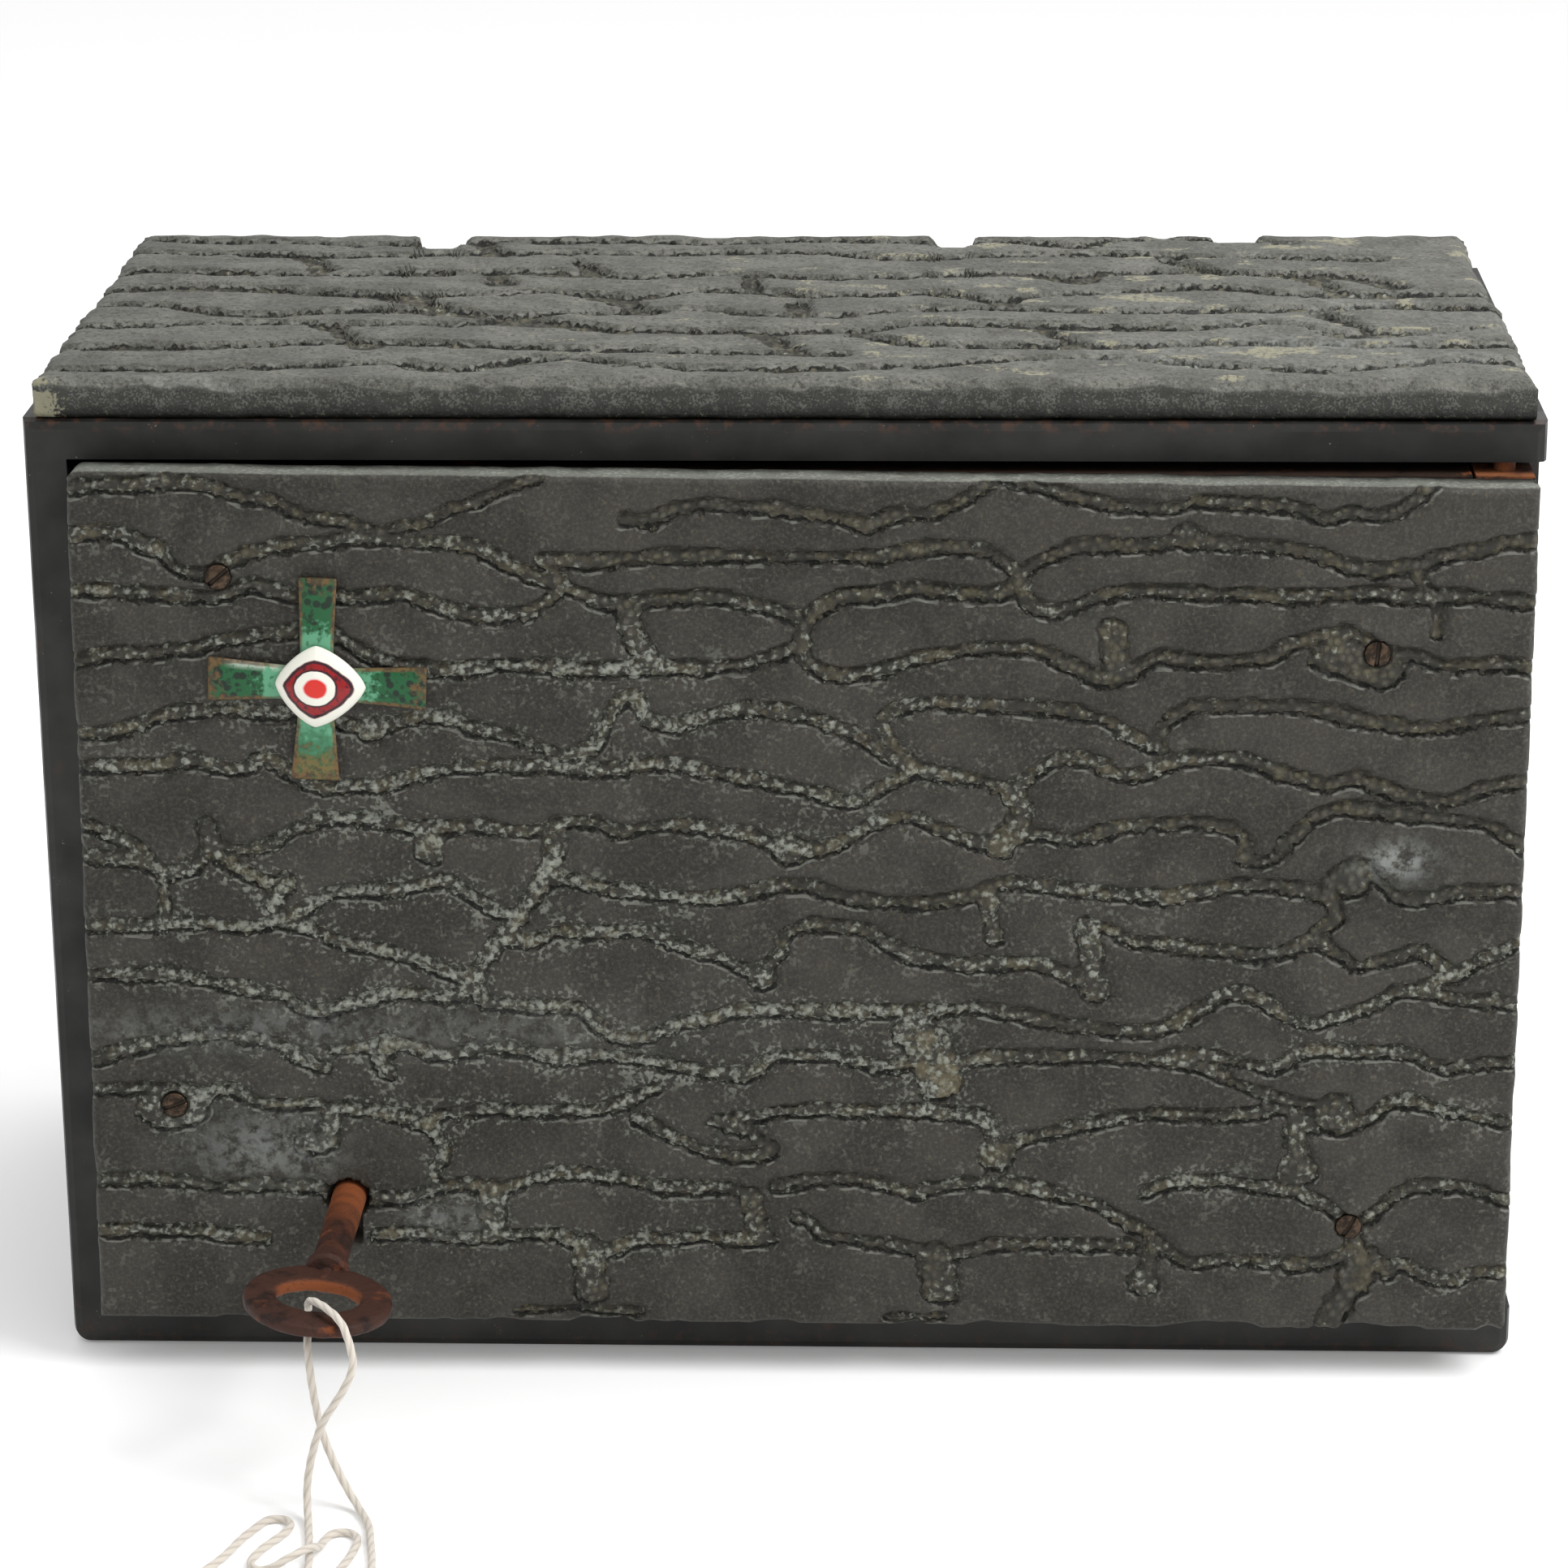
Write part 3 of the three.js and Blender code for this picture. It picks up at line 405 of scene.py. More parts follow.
class Graph:
    """A node tree that is being built: each method adds nodes and gives back an output socket."""

    def __init__(self, tree: bpy.types.NodeTree) -> None:
        """Starts from a tree."""
        self.tree = tree

    def link(self, value: Socket, target: Socket) -> None:
        """Links an output to an input."""
        self.tree.links.new(value, target)

    def put(self, kind: str, inputs: dict, **settings: object) -> bpy.types.Node:
        """Adds a node.

        Args:
            kind: the node's type name.
            inputs: a value or an output socket for each input, by name or number.
            settings: properties of the node.

        Returns:
            The node.
        """
        node = self.tree.nodes.new(kind)
        for name, value in settings.items():
            setattr(node, name, value)
        for name, value in inputs.items():
            if isinstance(value, Socket):
                self.link(value, node.inputs[name])
            else:
                node.inputs[name].default_value = value
        return node

    def noise(self, vector: Socket, scale: Value, detail: float = 2, rough: float = 0.5) -> Socket:
        """Noise from about 0.25 to 0.75 at a scale in cells per metre."""
        inputs = {"Vector": vector, "Scale": scale, "Detail": detail, "Roughness": rough}
        return self.put("ShaderNodeTexNoise", inputs).outputs["Fac"]

    def ramp(self, value: Value, low: Value, high: Value, start: float = 0.0, end: float = 1.0) -> Socket:
        """Smooth step from start at low to end at high."""
        inputs = {"Value": value, "From Min": low, "From Max": high, "To Min": start, "To Max": end}
        return self.put("ShaderNodeMapRange", inputs, interpolation_type="SMOOTHSTEP").outputs["Result"]

    def math(self, operation: str, first: Value, second: Value = 0.0) -> Socket:
        """One sum of two numbers."""
        return self.put("ShaderNodeMath", {0: first, 1: second}, operation=operation).outputs[0]

    def times(self, first: Value, *others: Value) -> Socket:
        """Product of two or more numbers.

        Args:
            first: the first factor.
            others: the other factors.

        Returns:
            The product.
        """
        for other in others:
            first = self.math("MULTIPLY", first, other)
        return first

    def plus(self, first: Value, second: Value) -> Socket:
        """Sum of two numbers."""
        return self.math("ADD", first, second)

    def larger(self, first: Value, second: Value) -> Socket:
        """The larger of two numbers."""
        return self.math("MAXIMUM", first, second)

    def mix(self, share: Value, first: Socket | Colour, second: Socket | Colour) -> Socket:
        """Blends two colours.

        Args:
            share: the second colour's share.
            first: the colour at 0.
            second: the colour at 1.

        Returns:
            The colour between them.
        """
        whole = [(*c, 1.0) if isinstance(c, tuple) else c for c in (first, second)]
        node = self.put("ShaderNodeMix", {0: share, 6: whole[0], 7: whole[1]}, data_type="RGBA")
        return node.outputs[2]

    def mark(self, name: str) -> Socket:
        """A number stored on the mesh."""
        return self.put("ShaderNodeAttribute", {}, attribute_name=name).outputs["Fac"]

    def effect(self, make: Callable[[], bpy.types.NodeTree], output: str, **inputs: Value) -> Socket:
        """Places a shared effect.

        Args:
            make: the function that gives the effect's group.
            output: name of the output that is wanted.
            inputs: a value or a socket for each of its inputs, in small letters.

        Returns:
            The output.
        """
        named = {key.capitalize(): value for key, value in inputs.items()}
        return self.put("ShaderNodeGroup", named, node_tree=make()).outputs[output]

    def band(self, value: Value, centre: Value, half: Value) -> Socket:
        """A line where a value is near a centre."""
        return self.effect(band_effect, "Mask", value=value, centre=centre, half=half)


def new_effect(
    name: str, inputs: dict[str, float | None], outputs: tuple[str, ...] = ("Mask",),
) -> tuple[Graph, bpy.types.NodeOutputs, bpy.types.NodeInputs]:
    """Starts a node group.

    Args:
        name: its name.
        inputs: its inputs; None stands for a vector, and a number is a value's default.
        outputs: the names of its output values.

    Returns:
        The group's graph, the sockets that carry its inputs and the sockets that take its outputs.
    """
    tree = bpy.data.node_groups.new(name, "ShaderNodeTree")
    for key, value in inputs.items():
        kind = "NodeSocketVector" if value is None else "NodeSocketFloat"
        socket = tree.interface.new_socket(key, in_out="INPUT", socket_type=kind)
        if value is not None:
            socket.default_value = value
    for key in outputs:
        tree.interface.new_socket(key, in_out="OUTPUT", socket_type="NodeSocketFloat")
    source = tree.nodes.new("NodeGroupInput").outputs
    sink = tree.nodes.new("NodeGroupOutput").inputs
    return Graph(tree), source, sink


@cache
def speckle_effect() -> bpy.types.NodeTree:
    """Small bright grains: the peaks of a fine noise, thinned by a coarser one.

    Returns:
        The group, with the output Mask.
    """
    graph, source, sink = new_effect("speckle", {"Vector": None, "Scale": 800.0, "Amount": 0.4})
    fine = graph.noise(source["Vector"], source["Scale"], 1.0, 0.4)
    coarse = graph.noise(source["Vector"], graph.times(source["Scale"], 0.13), 2.0, 0.6)
    both = graph.plus(fine, graph.times(coarse, 0.7))
    low = graph.math("SUBTRACT", 1.2, graph.times(source["Amount"], 0.45))
    graph.link(graph.ramp(both, low, graph.plus(low, 0.14)), sink["Mask"])
    return graph.tree


@cache
def blotch_effect() -> bpy.types.NodeTree:
    """Soft uneven areas: a noise with many octaves, cut between two levels.

    Returns:
        The group, with the output Mask.
    """
    graph, source, sink = new_effect("blotch", {"Vector": None, "Scale": 30.0, "Low": 0.45, "High": 0.65})
    cloud = graph.noise(source["Vector"], source["Scale"], 6.0, 0.62)
    graph.link(graph.ramp(cloud, source["Low"], source["High"]), sink["Mask"])
    return graph.tree


@cache
def band_effect() -> bpy.types.NodeTree:
    """A line: 1 where a value is nearer than a half width to a centre, and 0 beyond twice that.

    Returns:
        The group, with the output Mask.
    """
    graph, source, sink = new_effect("band", {"Value": 0.0, "Centre": 0.0, "Half": 0.5})
    away = graph.math("ABSOLUTE", graph.math("SUBTRACT", source["Value"], source["Centre"]))
    graph.link(graph.ramp(away, graph.times(source["Half"], 2.0), source["Half"]), sink["Mask"])
    return graph.tree


@cache
def pebble_effect() -> bpy.types.NodeTree:
    """Lumps: a height that falls with the distance from the nearest of some scattered points.

    Returns:
        The group, with the outputs Height and Chance, a random number for each lump.
    """
    graph, source, sink = new_effect("pebbles", {"Vector": None, "Scale": 380.0}, ("Height", "Chance"))
    cells = graph.put("ShaderNodeTexVoronoi", {"Vector": source["Vector"], "Scale": source["Scale"]})
    graph.link(graph.ramp(cells.outputs["Distance"], 0.75, 0.1), sink["Height"])
    split = graph.put("ShaderNodeSeparateColor", {"Color": cells.outputs["Color"]})
    graph.link(split.outputs["Red"], sink["Chance"])
    return graph.tree


@cache
def grain_effect() -> bpy.types.NodeTree:
    """Height of a sandy cast or rusted surface: a fine noise and a stronger coarse one.

    Returns:
        The group, with the output Height.
    """
    graph, source, sink = new_effect("grain", {"Vector": None, "Scale": 600.0}, ("Height",))
    fine = graph.noise(source["Vector"], source["Scale"], 3.0, 0.65)
    coarse = graph.noise(source["Vector"], graph.times(source["Scale"], 0.3), 2.0, 0.5)
    graph.link(graph.plus(fine, graph.times(coarse, 1.4)), sink["Height"])
    return graph.tree


class Finish:
    """A material in the making: its graph, its shader and the object coordinates.

    Scales are in cells per metre.
    """

    def __init__(self, name: str, **constants: float) -> None:
        """Makes the material.

        Args:
            name: its name.
            constants: numbers for the shader's own sockets, with _ for a space.
        """
        self.material = bpy.data.materials.new(name)
        self.material.use_nodes = True
        self.graph = Graph(self.material.node_tree)
        self.shader = self.material.node_tree.nodes["Principled BSDF"]
        for key, value in constants.items():
            self.shader.inputs[key.replace("_", " ")].default_value = value
        self.place = self.graph.put("ShaderNodeTexCoord", {}).outputs["Object"]

    def feed(self, **sockets: Socket) -> bpy.types.Material:
        """Links outputs to the shader's inputs.

        Args:
            sockets: an output for each input, with _ for a space.

        Returns:
            The material.
        """
        for key, value in sockets.items():
            self.graph.link(value, self.shader.inputs[key.replace("_", " ")])
        return self.material

    def noise(self, scale: float, detail: float = 2, rough: float = 0.5) -> Socket:
        """Noise over the object."""
        return self.graph.noise(self.place, scale, detail, rough)

    def blotch(self, scale: float, low: float, high: float) -> Socket:
        """Soft uneven areas, from 0 where their cloud is at low to 1 at high."""
        return self.graph.effect(blotch_effect, "Mask", vector=self.place, scale=scale, low=low, high=high)

    def speckle(self, scale: float, amount: float) -> Socket:
        """Small bright grains."""
        return self.graph.effect(speckle_effect, "Mask", vector=self.place, scale=scale, amount=amount)

    def grain(self, scale: float) -> Socket:
        """Height of a sandy surface."""
        return self.graph.effect(grain_effect, "Height", vector=self.place, scale=scale)

    def pebbles(self, scale: float) -> Socket:
        """Height of round lumps; its node also has the output Chance."""
        return self.graph.effect(pebble_effect, "Height", vector=self.place, scale=scale)

    def bump(self, height: Socket, strength: float, distance: float, normal: Socket | None = None) -> Socket:
        """Turns a height into a normal.

        Args:
            height: height from about 0 to 1.
            strength: share of it that shows.
            distance: full depth in metres.
            normal: a normal that it adds to.

        Returns:
            The normal.
        """
        inputs = {"Height": height, "Strength": strength, "Distance": distance}
        if normal is not None:
            inputs["Normal"] = normal
        return self.graph.put("ShaderNodeBump", inputs).outputs["Normal"]

    def axis(self, name: str) -> Socket:
        """One of the object coordinates X, Y or Z, in metres."""
        return self.graph.put("ShaderNodeSeparateXYZ", {0: self.place}).outputs[name]


@dataclass(frozen=True)
class CastBronze:
    """Dark patinated bronze: plain plates, and channels with beaded floors and pale deposits."""

    name: str
    # The door's plates are darker than the top's: a dark patina, with painted shade on the upright front as
    # well
    plate: Colour = (0.019, 0.0175, 0.0142)
    plate_light: Colour = (0.036, 0.0325, 0.027)
    fleck: Colour = (0.12, 0.12, 0.10)
    gap: Colour = (0.030, 0.029, 0.024)
    bead: Colour = (0.074, 0.071, 0.059)
    olive: Colour = (0.085, 0.078, 0.052)
    deposit: Colour = (0.27, 0.285, 0.245)
    # Painted shade: the dark of the channels' creases and of the sides towards the back
    painted_shade: Colour = (0.006, 0.006, 0.005)
    # A painted highlight: the light line where light from above falls on the plates' lower rims
    wear_and_highlight: Colour = (0.17, 0.17, 0.15)
    side: Colour = (0.145, 0.152, 0.132)
    side_fleck: Colour = (0.22, 0.23, 0.20)
    powder: Colour = (0.25, 0.265, 0.25)
    tan: Colour = (0.135, 0.115, 0.068)
    coarse: float = 0.15
    coarse_depth: float = 0.0004
    bead_depth: float = 0.0009
    grit: float = 0.2
    flank_scale: float = 900.0

    def plates(self, finish: Finish, pale: Socket) -> Socket:
        """The plates: two soft tones with dark pores, grit and pale flecks.

        Args:
            finish: the material in the making.
            pale: how much pale deposit lies there.

        Returns:
            Their colour.
        """
        g = finish.graph
        colour = g.mix(finish.blotch(45.0, 0.4, 0.62), self.plate, self.plate_light)
        pores = g.ramp(finish.noise(620.0, 4.0, 0.7), 0.50, 0.38)
        colour = g.mix(g.times(pores, self.coarse), colour, self.gap)
        grit = g.ramp(finish.noise(900.0, 3.0, 0.7), 0.42, 0.66, 0.0, self.grit)
        colour = g.mix(grit, colour, self.fleck)
        flecks = g.times(finish.speckle(800.0, 0.5), g.ramp(pale, 0.0, 1.0, 0.15, 0.42))
        return g.mix(flecks, colour, self.fleck)

    def floor(self, finish: Finish, pale: Socket, warm: Socket) -> tuple[Socket, Socket]:
        """A channel's floor: dark gaps between beads, of which some are pale or tan.

        Args:
            finish: the material in the making.
            pale: how much pale deposit lies there.
            warm: how much of it is tan.

        Returns:
            Its colour and the beads' height.
        """
        g = finish.graph
        lumps = finish.pebbles(400.0)
        colour = g.mix(finish.blotch(90.0, 0.42, 0.6), self.bead, self.olive)
        colour = g.mix(lumps, self.gap, colour)
        grains = g.plus(finish.noise(560.0, 3.0, 0.6), g.times(lumps.node.outputs["Chance"], 0.16))
        grains = g.plus(grains, g.times(lumps, 0.14))
        limit = g.ramp(pale, 0.0, 1.0, 0.82, 0.54)
        crust = g.ramp(grains, limit, g.plus(limit, 0.22))
        colour = g.mix(g.times(crust, 0.85), colour, self.deposit)
        tanned = g.times(warm, finish.blotch(150.0, 0.5, 0.62))
        return g.mix(g.times(tanned, 0.6), colour, self.tan), lumps

    def rims(self, finish: Finish, colour: Socket, ragged: Socket, edge: Socket, below: Socket) -> Socket:
        """Adds painted shade as a dark crease at a wall's foot and a painted highlight as a light line on the
        plates' lower rims.

        Args:
            finish: the material in the making.
            colour: the colour so far.
            ragged: distance to the channel's edge, roughened.
            edge: the same distance, clean.
            below: how far the place faces the lower rim of a plate.

        Returns:
            The colour with both.
        """
        g = finish.graph
        wander = finish.noise(260.0)
        # Painted shade: a dark crease at the wall's foot, stronger where it faces a plate's lower rim, as
        # light comes from above
        line = g.band(ragged, -0.6, g.ramp(wander, 0.32, 0.66, 0.10, 0.42))
        line = g.times(line, g.ramp(below, 0.0, 0.6, 0.45, 0.9))
        colour = g.mix(line, colour, self.painted_shade)
        # Painted highlight: a light line on the plates' lower rims, which face up into the light
        lit = g.times(g.band(edge, 0.2, 0.2), below, g.ramp(wander, 0.46, 0.62))
        return g.mix(g.times(lit, 0.7), colour, self.wear_and_highlight)

    def flank(self, finish: Finish) -> Socket:
        """The slab's sides, with painted shade that darkens them towards the back.

        Args:
            finish: the material in the making.

        Returns:
            Their colour.
        """
        g = finish.graph
        colour = g.mix(finish.speckle(self.flank_scale, 0.75), self.side, self.side_fleck)
        # Painted shade: the sides darken towards the back
        return g.mix(g.ramp(g.mark("deep"), 0.35, 1.0), colour, self.painted_shade)

    def material(self) -> bpy.types.Material:
        """Builds the material from the marks edge, below, pale, warm, powder, side, deep and tan.

        Returns:
            The material.
        """
        finish = Finish(self.name, Metallic=0.1, Specular_IOR_Level=0.25)
        g = finish.graph
        edge, below, pale, warm = (g.mark(name) for name in ("edge", "below", "pale", "warm"))
        floor, lumps = self.floor(finish, pale, warm)
        ragged = g.plus(edge, g.ramp(finish.noise(520.0, 3.0), 0.25, 0.75, -0.7, 0.7))
        inside = g.ramp(ragged, 0.0, -0.9)
        colour = g.mix(inside, self.plates(finish, pale), floor)
        spill = g.times(g.ramp(ragged, 4.5, 0.0), g.ramp(pale, 0.5, 1.0, 0.0, 0.4))
        spill = g.times(spill, finish.speckle(800.0, 0.65), g.ramp(inside, 1.0, 0.0))
        colour = g.mix(spill, colour, self.deposit)
        # Painted shade in the creases and a painted highlight on the lower rims
        colour = self.rims(finish, colour, ragged, edge, below)
        dust = g.times(g.mark("powder"), finish.blotch(330.0, 0.38, 0.62))
        colour = g.mix(g.times(dust, 0.75), colour, self.powder)
        colour = g.mix(g.mark("side"), colour, self.flank(finish))
        crumbs = g.plus(g.mark("tan"), g.ramp(finish.noise(700.0, 3.0, 0.65), 0.3, 0.7, -0.75, 0.15))
        colour = g.mix(g.ramp(crumbs, 0.0, 0.45), colour, self.tan)
        normal = finish.bump(finish.grain(900.0), 0.7, self.coarse_depth)
        normal = finish.bump(g.times(lumps, inside), 0.9, self.bead_depth, normal)
        rough = g.ramp(inside, 0.0, 1.0, 0.55, 0.72)
        return finish.feed(Base_Color=colour, Normal=normal, Roughness=rough)


@dataclass(frozen=True)
class BlackenedSteel:
    """Satin black steel sheet with rust at its edges and corners.

    Rust grows from the first height or depth of a pair to the second, in metres.
    """

    dark: Colour = (0.011, 0.011, 0.0103)
    light: Colour = (0.025, 0.025, 0.023)
    rust: Colour = (0.085, 0.036, 0.018)
    fleck: Colour = (0.35, 0.35, 0.33)
    top_edge: tuple[float, float] = (0.2745, 0.2795)
    front_edge: tuple[float, float] = (-0.092, -0.0975)
    foot_edge: tuple[float, float] = (0.012, 0.002)

    def material(self) -> bpy.types.Material:
        """Builds the material.

        Returns:
            The material.
        """
        finish = Finish("blackened steel", Metallic=0.45)
        g = finish.graph
        colour = g.mix(finish.blotch(26.0, 0.35, 0.7), self.dark, self.light)
        top = g.times(g.ramp(finish.axis("Z"), *self.top_edge), g.ramp(finish.axis("Y"), *self.front_edge))
        edges = g.larger(top, g.times(g.ramp(finish.axis("Z"), *self.foot_edge), 0.35))
        colour = g.mix(g.times(edges, finish.blotch(240.0, 0.5, 0.62), 0.55), colour, self.rust)
        colour = g.mix(g.times(finish.blotch(70.0, 0.6, 0.7), 0.28), colour, self.rust)
        colour = g.mix(g.times(finish.speckle(1300.0, 0.12), 0.5), colour, self.fleck)
        normal = finish.bump(finish.grain(500.0), 0.25, 0.0002)
        rough = g.ramp(finish.noise(60.0, 4.0), 0.3, 0.7, 0.36, 0.6)
        return finish.feed(Base_Color=colour, Normal=normal, Roughness=rough)


@dataclass(frozen=True)
class Rust:
    """Rusted iron or steel, from dark scale to orange bloom."""

    name: str
    scale: Colour = (0.030, 0.018, 0.014)
    brown: Colour = (0.105, 0.042, 0.024)
    bloom: Colour = (0.30, 0.095, 0.028)
    bloom_low: float = 0.48
    bloom_span: float = 0.14
    depth: float = 0.0005

    def material(self) -> bpy.types.Material:
        """Builds the material; a mark of orange, where a mesh has it, adds rust bloom, and on the key ring's
        far inner wall painted light as well.

        Returns:
            The material.
        """
        finish = Finish(self.name, Metallic=0.0, Specular_IOR_Level=0.2)
        g = finish.graph
        colour = g.mix(finish.blotch(120.0, 0.36, 0.52), self.scale, self.brown)
        patches = finish.blotch(75.0, self.bloom_low, self.bloom_low + self.bloom_span)
        # The orange mark: rust bloom, and on the key ring's far inner wall also painted light
        bloom = g.larger(g.times(patches, 0.85), g.mark("bloom"))
        colour = g.mix(bloom, colour, self.bloom)
        colour = g.mix(g.times(finish.speckle(1500.0, 0.5), 0.35), colour, self.scale)
        normal = finish.bump(finish.grain(700.0), 0.6, self.depth)
        rough = g.ramp(bloom, 0.0, 1.0, 0.6, 0.88)
        return finish.feed(Base_Color=colour, Normal=normal, Roughness=rough)


@dataclass(frozen=True)
class TarnishedBronze:
    """Brown tarnished screw heads, with painted shade in their slots and on their skirts."""

    dark: Colour = (0.022, 0.015, 0.010)
    bronze: Colour = (0.080, 0.050, 0.031)

    def material(self) -> bpy.types.Material:
        """Builds the material from a mark of painted shade in the slots and on the skirts, and a fine blotch.

        Returns:
            The material.
        """
        finish = Finish("tarnished bronze", Metallic=0.75)
        g = finish.graph
        wear = finish.blotch(420.0, 0.42, 0.62)
        colour = g.mix(g.mark("dirt"), g.mix(wear, self.dark, self.bronze), self.dark)
        normal = finish.bump(finish.grain(1500.0), 0.4, 0.0002)
        rough = g.ramp(wear, 0.0, 1.0, 0.5, 0.28)
        return finish.feed(Base_Color=colour, Normal=normal, Roughness=rough)


@dataclass(frozen=True)
class Enamel:
    """Green enamel on copper: turquoise by the glass, mottled green further out, bare copper at the ends."""

    turquoise: Colour = (0.092, 0.29, 0.165)
    green: Colour = (0.0055, 0.080, 0.023)
    black: Colour = (0.002, 0.011, 0.005)
    copper: Colour = (0.135, 0.075, 0.026)
    olive: Colour = (0.13, 0.10, 0.030)
    white: Colour = (0.50, 0.60, 0.50)
    rim: Colour = (0.060, 0.034, 0.020)

    def glaze(self, finish: Finish, drift: Socket, cloud: Socket) -> Socket:
        """The enamel itself, with dark dots, a golden lower arm and a white streak.

        Args:
            finish: the material in the making.
            drift: share of the way along the arm, disturbed by the cloud.
            cloud: a soft noise.

        Returns:
            Its colour.
        """
        g = finish.graph
        lower, outer = g.mark("lower"), g.ramp(drift, 0.5, 0.62)
        colour = g.mix(g.ramp(drift, 0.42, 0.56), self.turquoise, self.green)
        dots = g.times(g.ramp(finish.pebbles(360.0), 0.45, 0.75), outer, 0.9)
        colour = g.mix(dots, colour, self.black)
        murk = g.times(g.ramp(finish.noise(700.0), 0.5, 0.62), outer, 0.6)
        colour = g.mix(murk, colour, self.black)
        colour = g.mix(g.times(lower, g.ramp(drift, 0.85, 0.5), 0.5), colour, self.turquoise)
        mottle = g.ramp(finish.noise(620.0, 3.0, 0.6), 0.40, 0.56, 0.25, 1.0)
        colour = g.mix(g.times(lower, g.ramp(drift, 0.62, 0.8), mottle), colour, self.olive)
        return g.mix(g.times(g.mark("streak"), g.ramp(cloud, 0.35, 0.5)), colour, self.white)

    def material(self) -> bpy.types.Material:
        """Builds the material from the marks along, across, lower, streak and flank.

        Returns:
            The material.
        """
        shine = {"Coat_Weight": 0.12, "Coat_Roughness": 0.12, "Specular_IOR_Level": 0.25}
        finish = Finish("green enamel", Metallic=0.0, **shine)
        g = finish.graph
        along, across = g.mark("along"), g.mark("across")
        cloud = finish.noise(420.0, 4.0, 0.6)
        drift = g.plus(along, g.times(g.math("SUBTRACT", cloud, 0.5), 0.7))
        edge = g.ramp(g.plus(g.math("ABSOLUTE", across), g.times(cloud, 0.3)), 0.88, 1.04)
        bare = g.larger(g.ramp(drift, 0.86, 1.0), g.times(edge, g.ramp(along, 0.2, 0.5, 0.4, 1.0)))
        patina = g.mix(g.ramp(finish.noise(700.0), 0.42, 0.58), self.rim, self.copper)
        colour = g.mix(g.times(bare, 0.85), self.glaze(finish, drift, cloud), patina)
        colour = g.mix(g.mark("flank"), colour, self.rim)
        normal = finish.bump(finish.noise(500.0, 3.0), 0.35, 0.0004)
        rough = g.ramp(bare, 0.0, 1.0, 0.2, 0.6)
        return finish.feed(Base_Color=colour, Normal=normal, Roughness=rough)


@dataclass(frozen=True)
class LayeredGlass:
    """A slice of layered glass: white, dark red, a white ring and a bright red middle."""

    white: Colour = (0.74, 0.73, 0.65)
    red: Colour = (0.25, 0.006, 0.008)
    plum: Colour = (0.030, 0.006, 0.012)
    dot: Colour = (0.58, 0.020, 0.012)
    blush: Colour = (0.70, 0.36, 0.36)

    def material(self) -> bpy.types.Material:
        """Builds the material from the marks band, which is 1 at the red's border, and ring, in millimetres.

        Returns:
            The material.
        """
        finish = Finish("layered glass", Metallic=0.0, Roughness=0.12, Specular_IOR_Level=0.35)
        g = finish.graph
        ripple = g.times(g.math("SUBTRACT", finish.noise(330.0), 0.5), 0.10)
        band = g.plus(g.mark("band"), ripple)
        ring = g.plus(g.mark("ring"), g.times(ripple, 6.0))
        red = g.mix(g.ramp(finish.noise(800.0, 3.0), 0.48, 0.74), self.red, self.plum)
        red = g.mix(g.band(band, 0.95, 0.035), red, self.plum)
        colour = g.mix(g.ramp(band, 1.04, 0.98), self.white, red)
        layers = (
            (6.0, 5.5, self.plum), (5.35, 5.05, self.white), (3.3, 2.9, self.blush), (2.95, 2.65, self.dot),
        )
        for outer, inner, layer in layers:
            colour = g.mix(g.ramp(ring, outer, inner), colour, layer)
        normal = finish.bump(finish.noise(260.0, 1.0), 0.25, 0.0005)
        return finish.feed(Base_Color=colour, Normal=normal)


@dataclass(frozen=True)
class Cotton:
    """Twisted off-white cotton, with painted shade that darkens the grooves between its plies."""

    groove: Colour = (0.48, 0.435, 0.375)
    ply: Colour = (0.62, 0.57, 0.50)

    def material(self) -> bpy.types.Material:
        """Builds the material from the mark ply, which is 1 on the crown of a ply.

        Returns:
            The material.
        """
        finish = Finish("twisted cotton", Metallic=0.0, Roughness=0.95, Sheen_Weight=0.3)
        g = finish.graph
        # Painted shade: the grooves between the plies are darker
        colour = g.mix(g.ramp(g.mark("ply"), 0.0, 0.55), self.groove, self.ply)
        colour = g.mix(g.times(finish.blotch(150.0, 0.5, 0.75), 0.3), colour, self.groove)
        return finish.feed(Base_Color=colour, Normal=finish.bump(finish.noise(3500.0), 0.4, 0.0002))


# Relief slabs


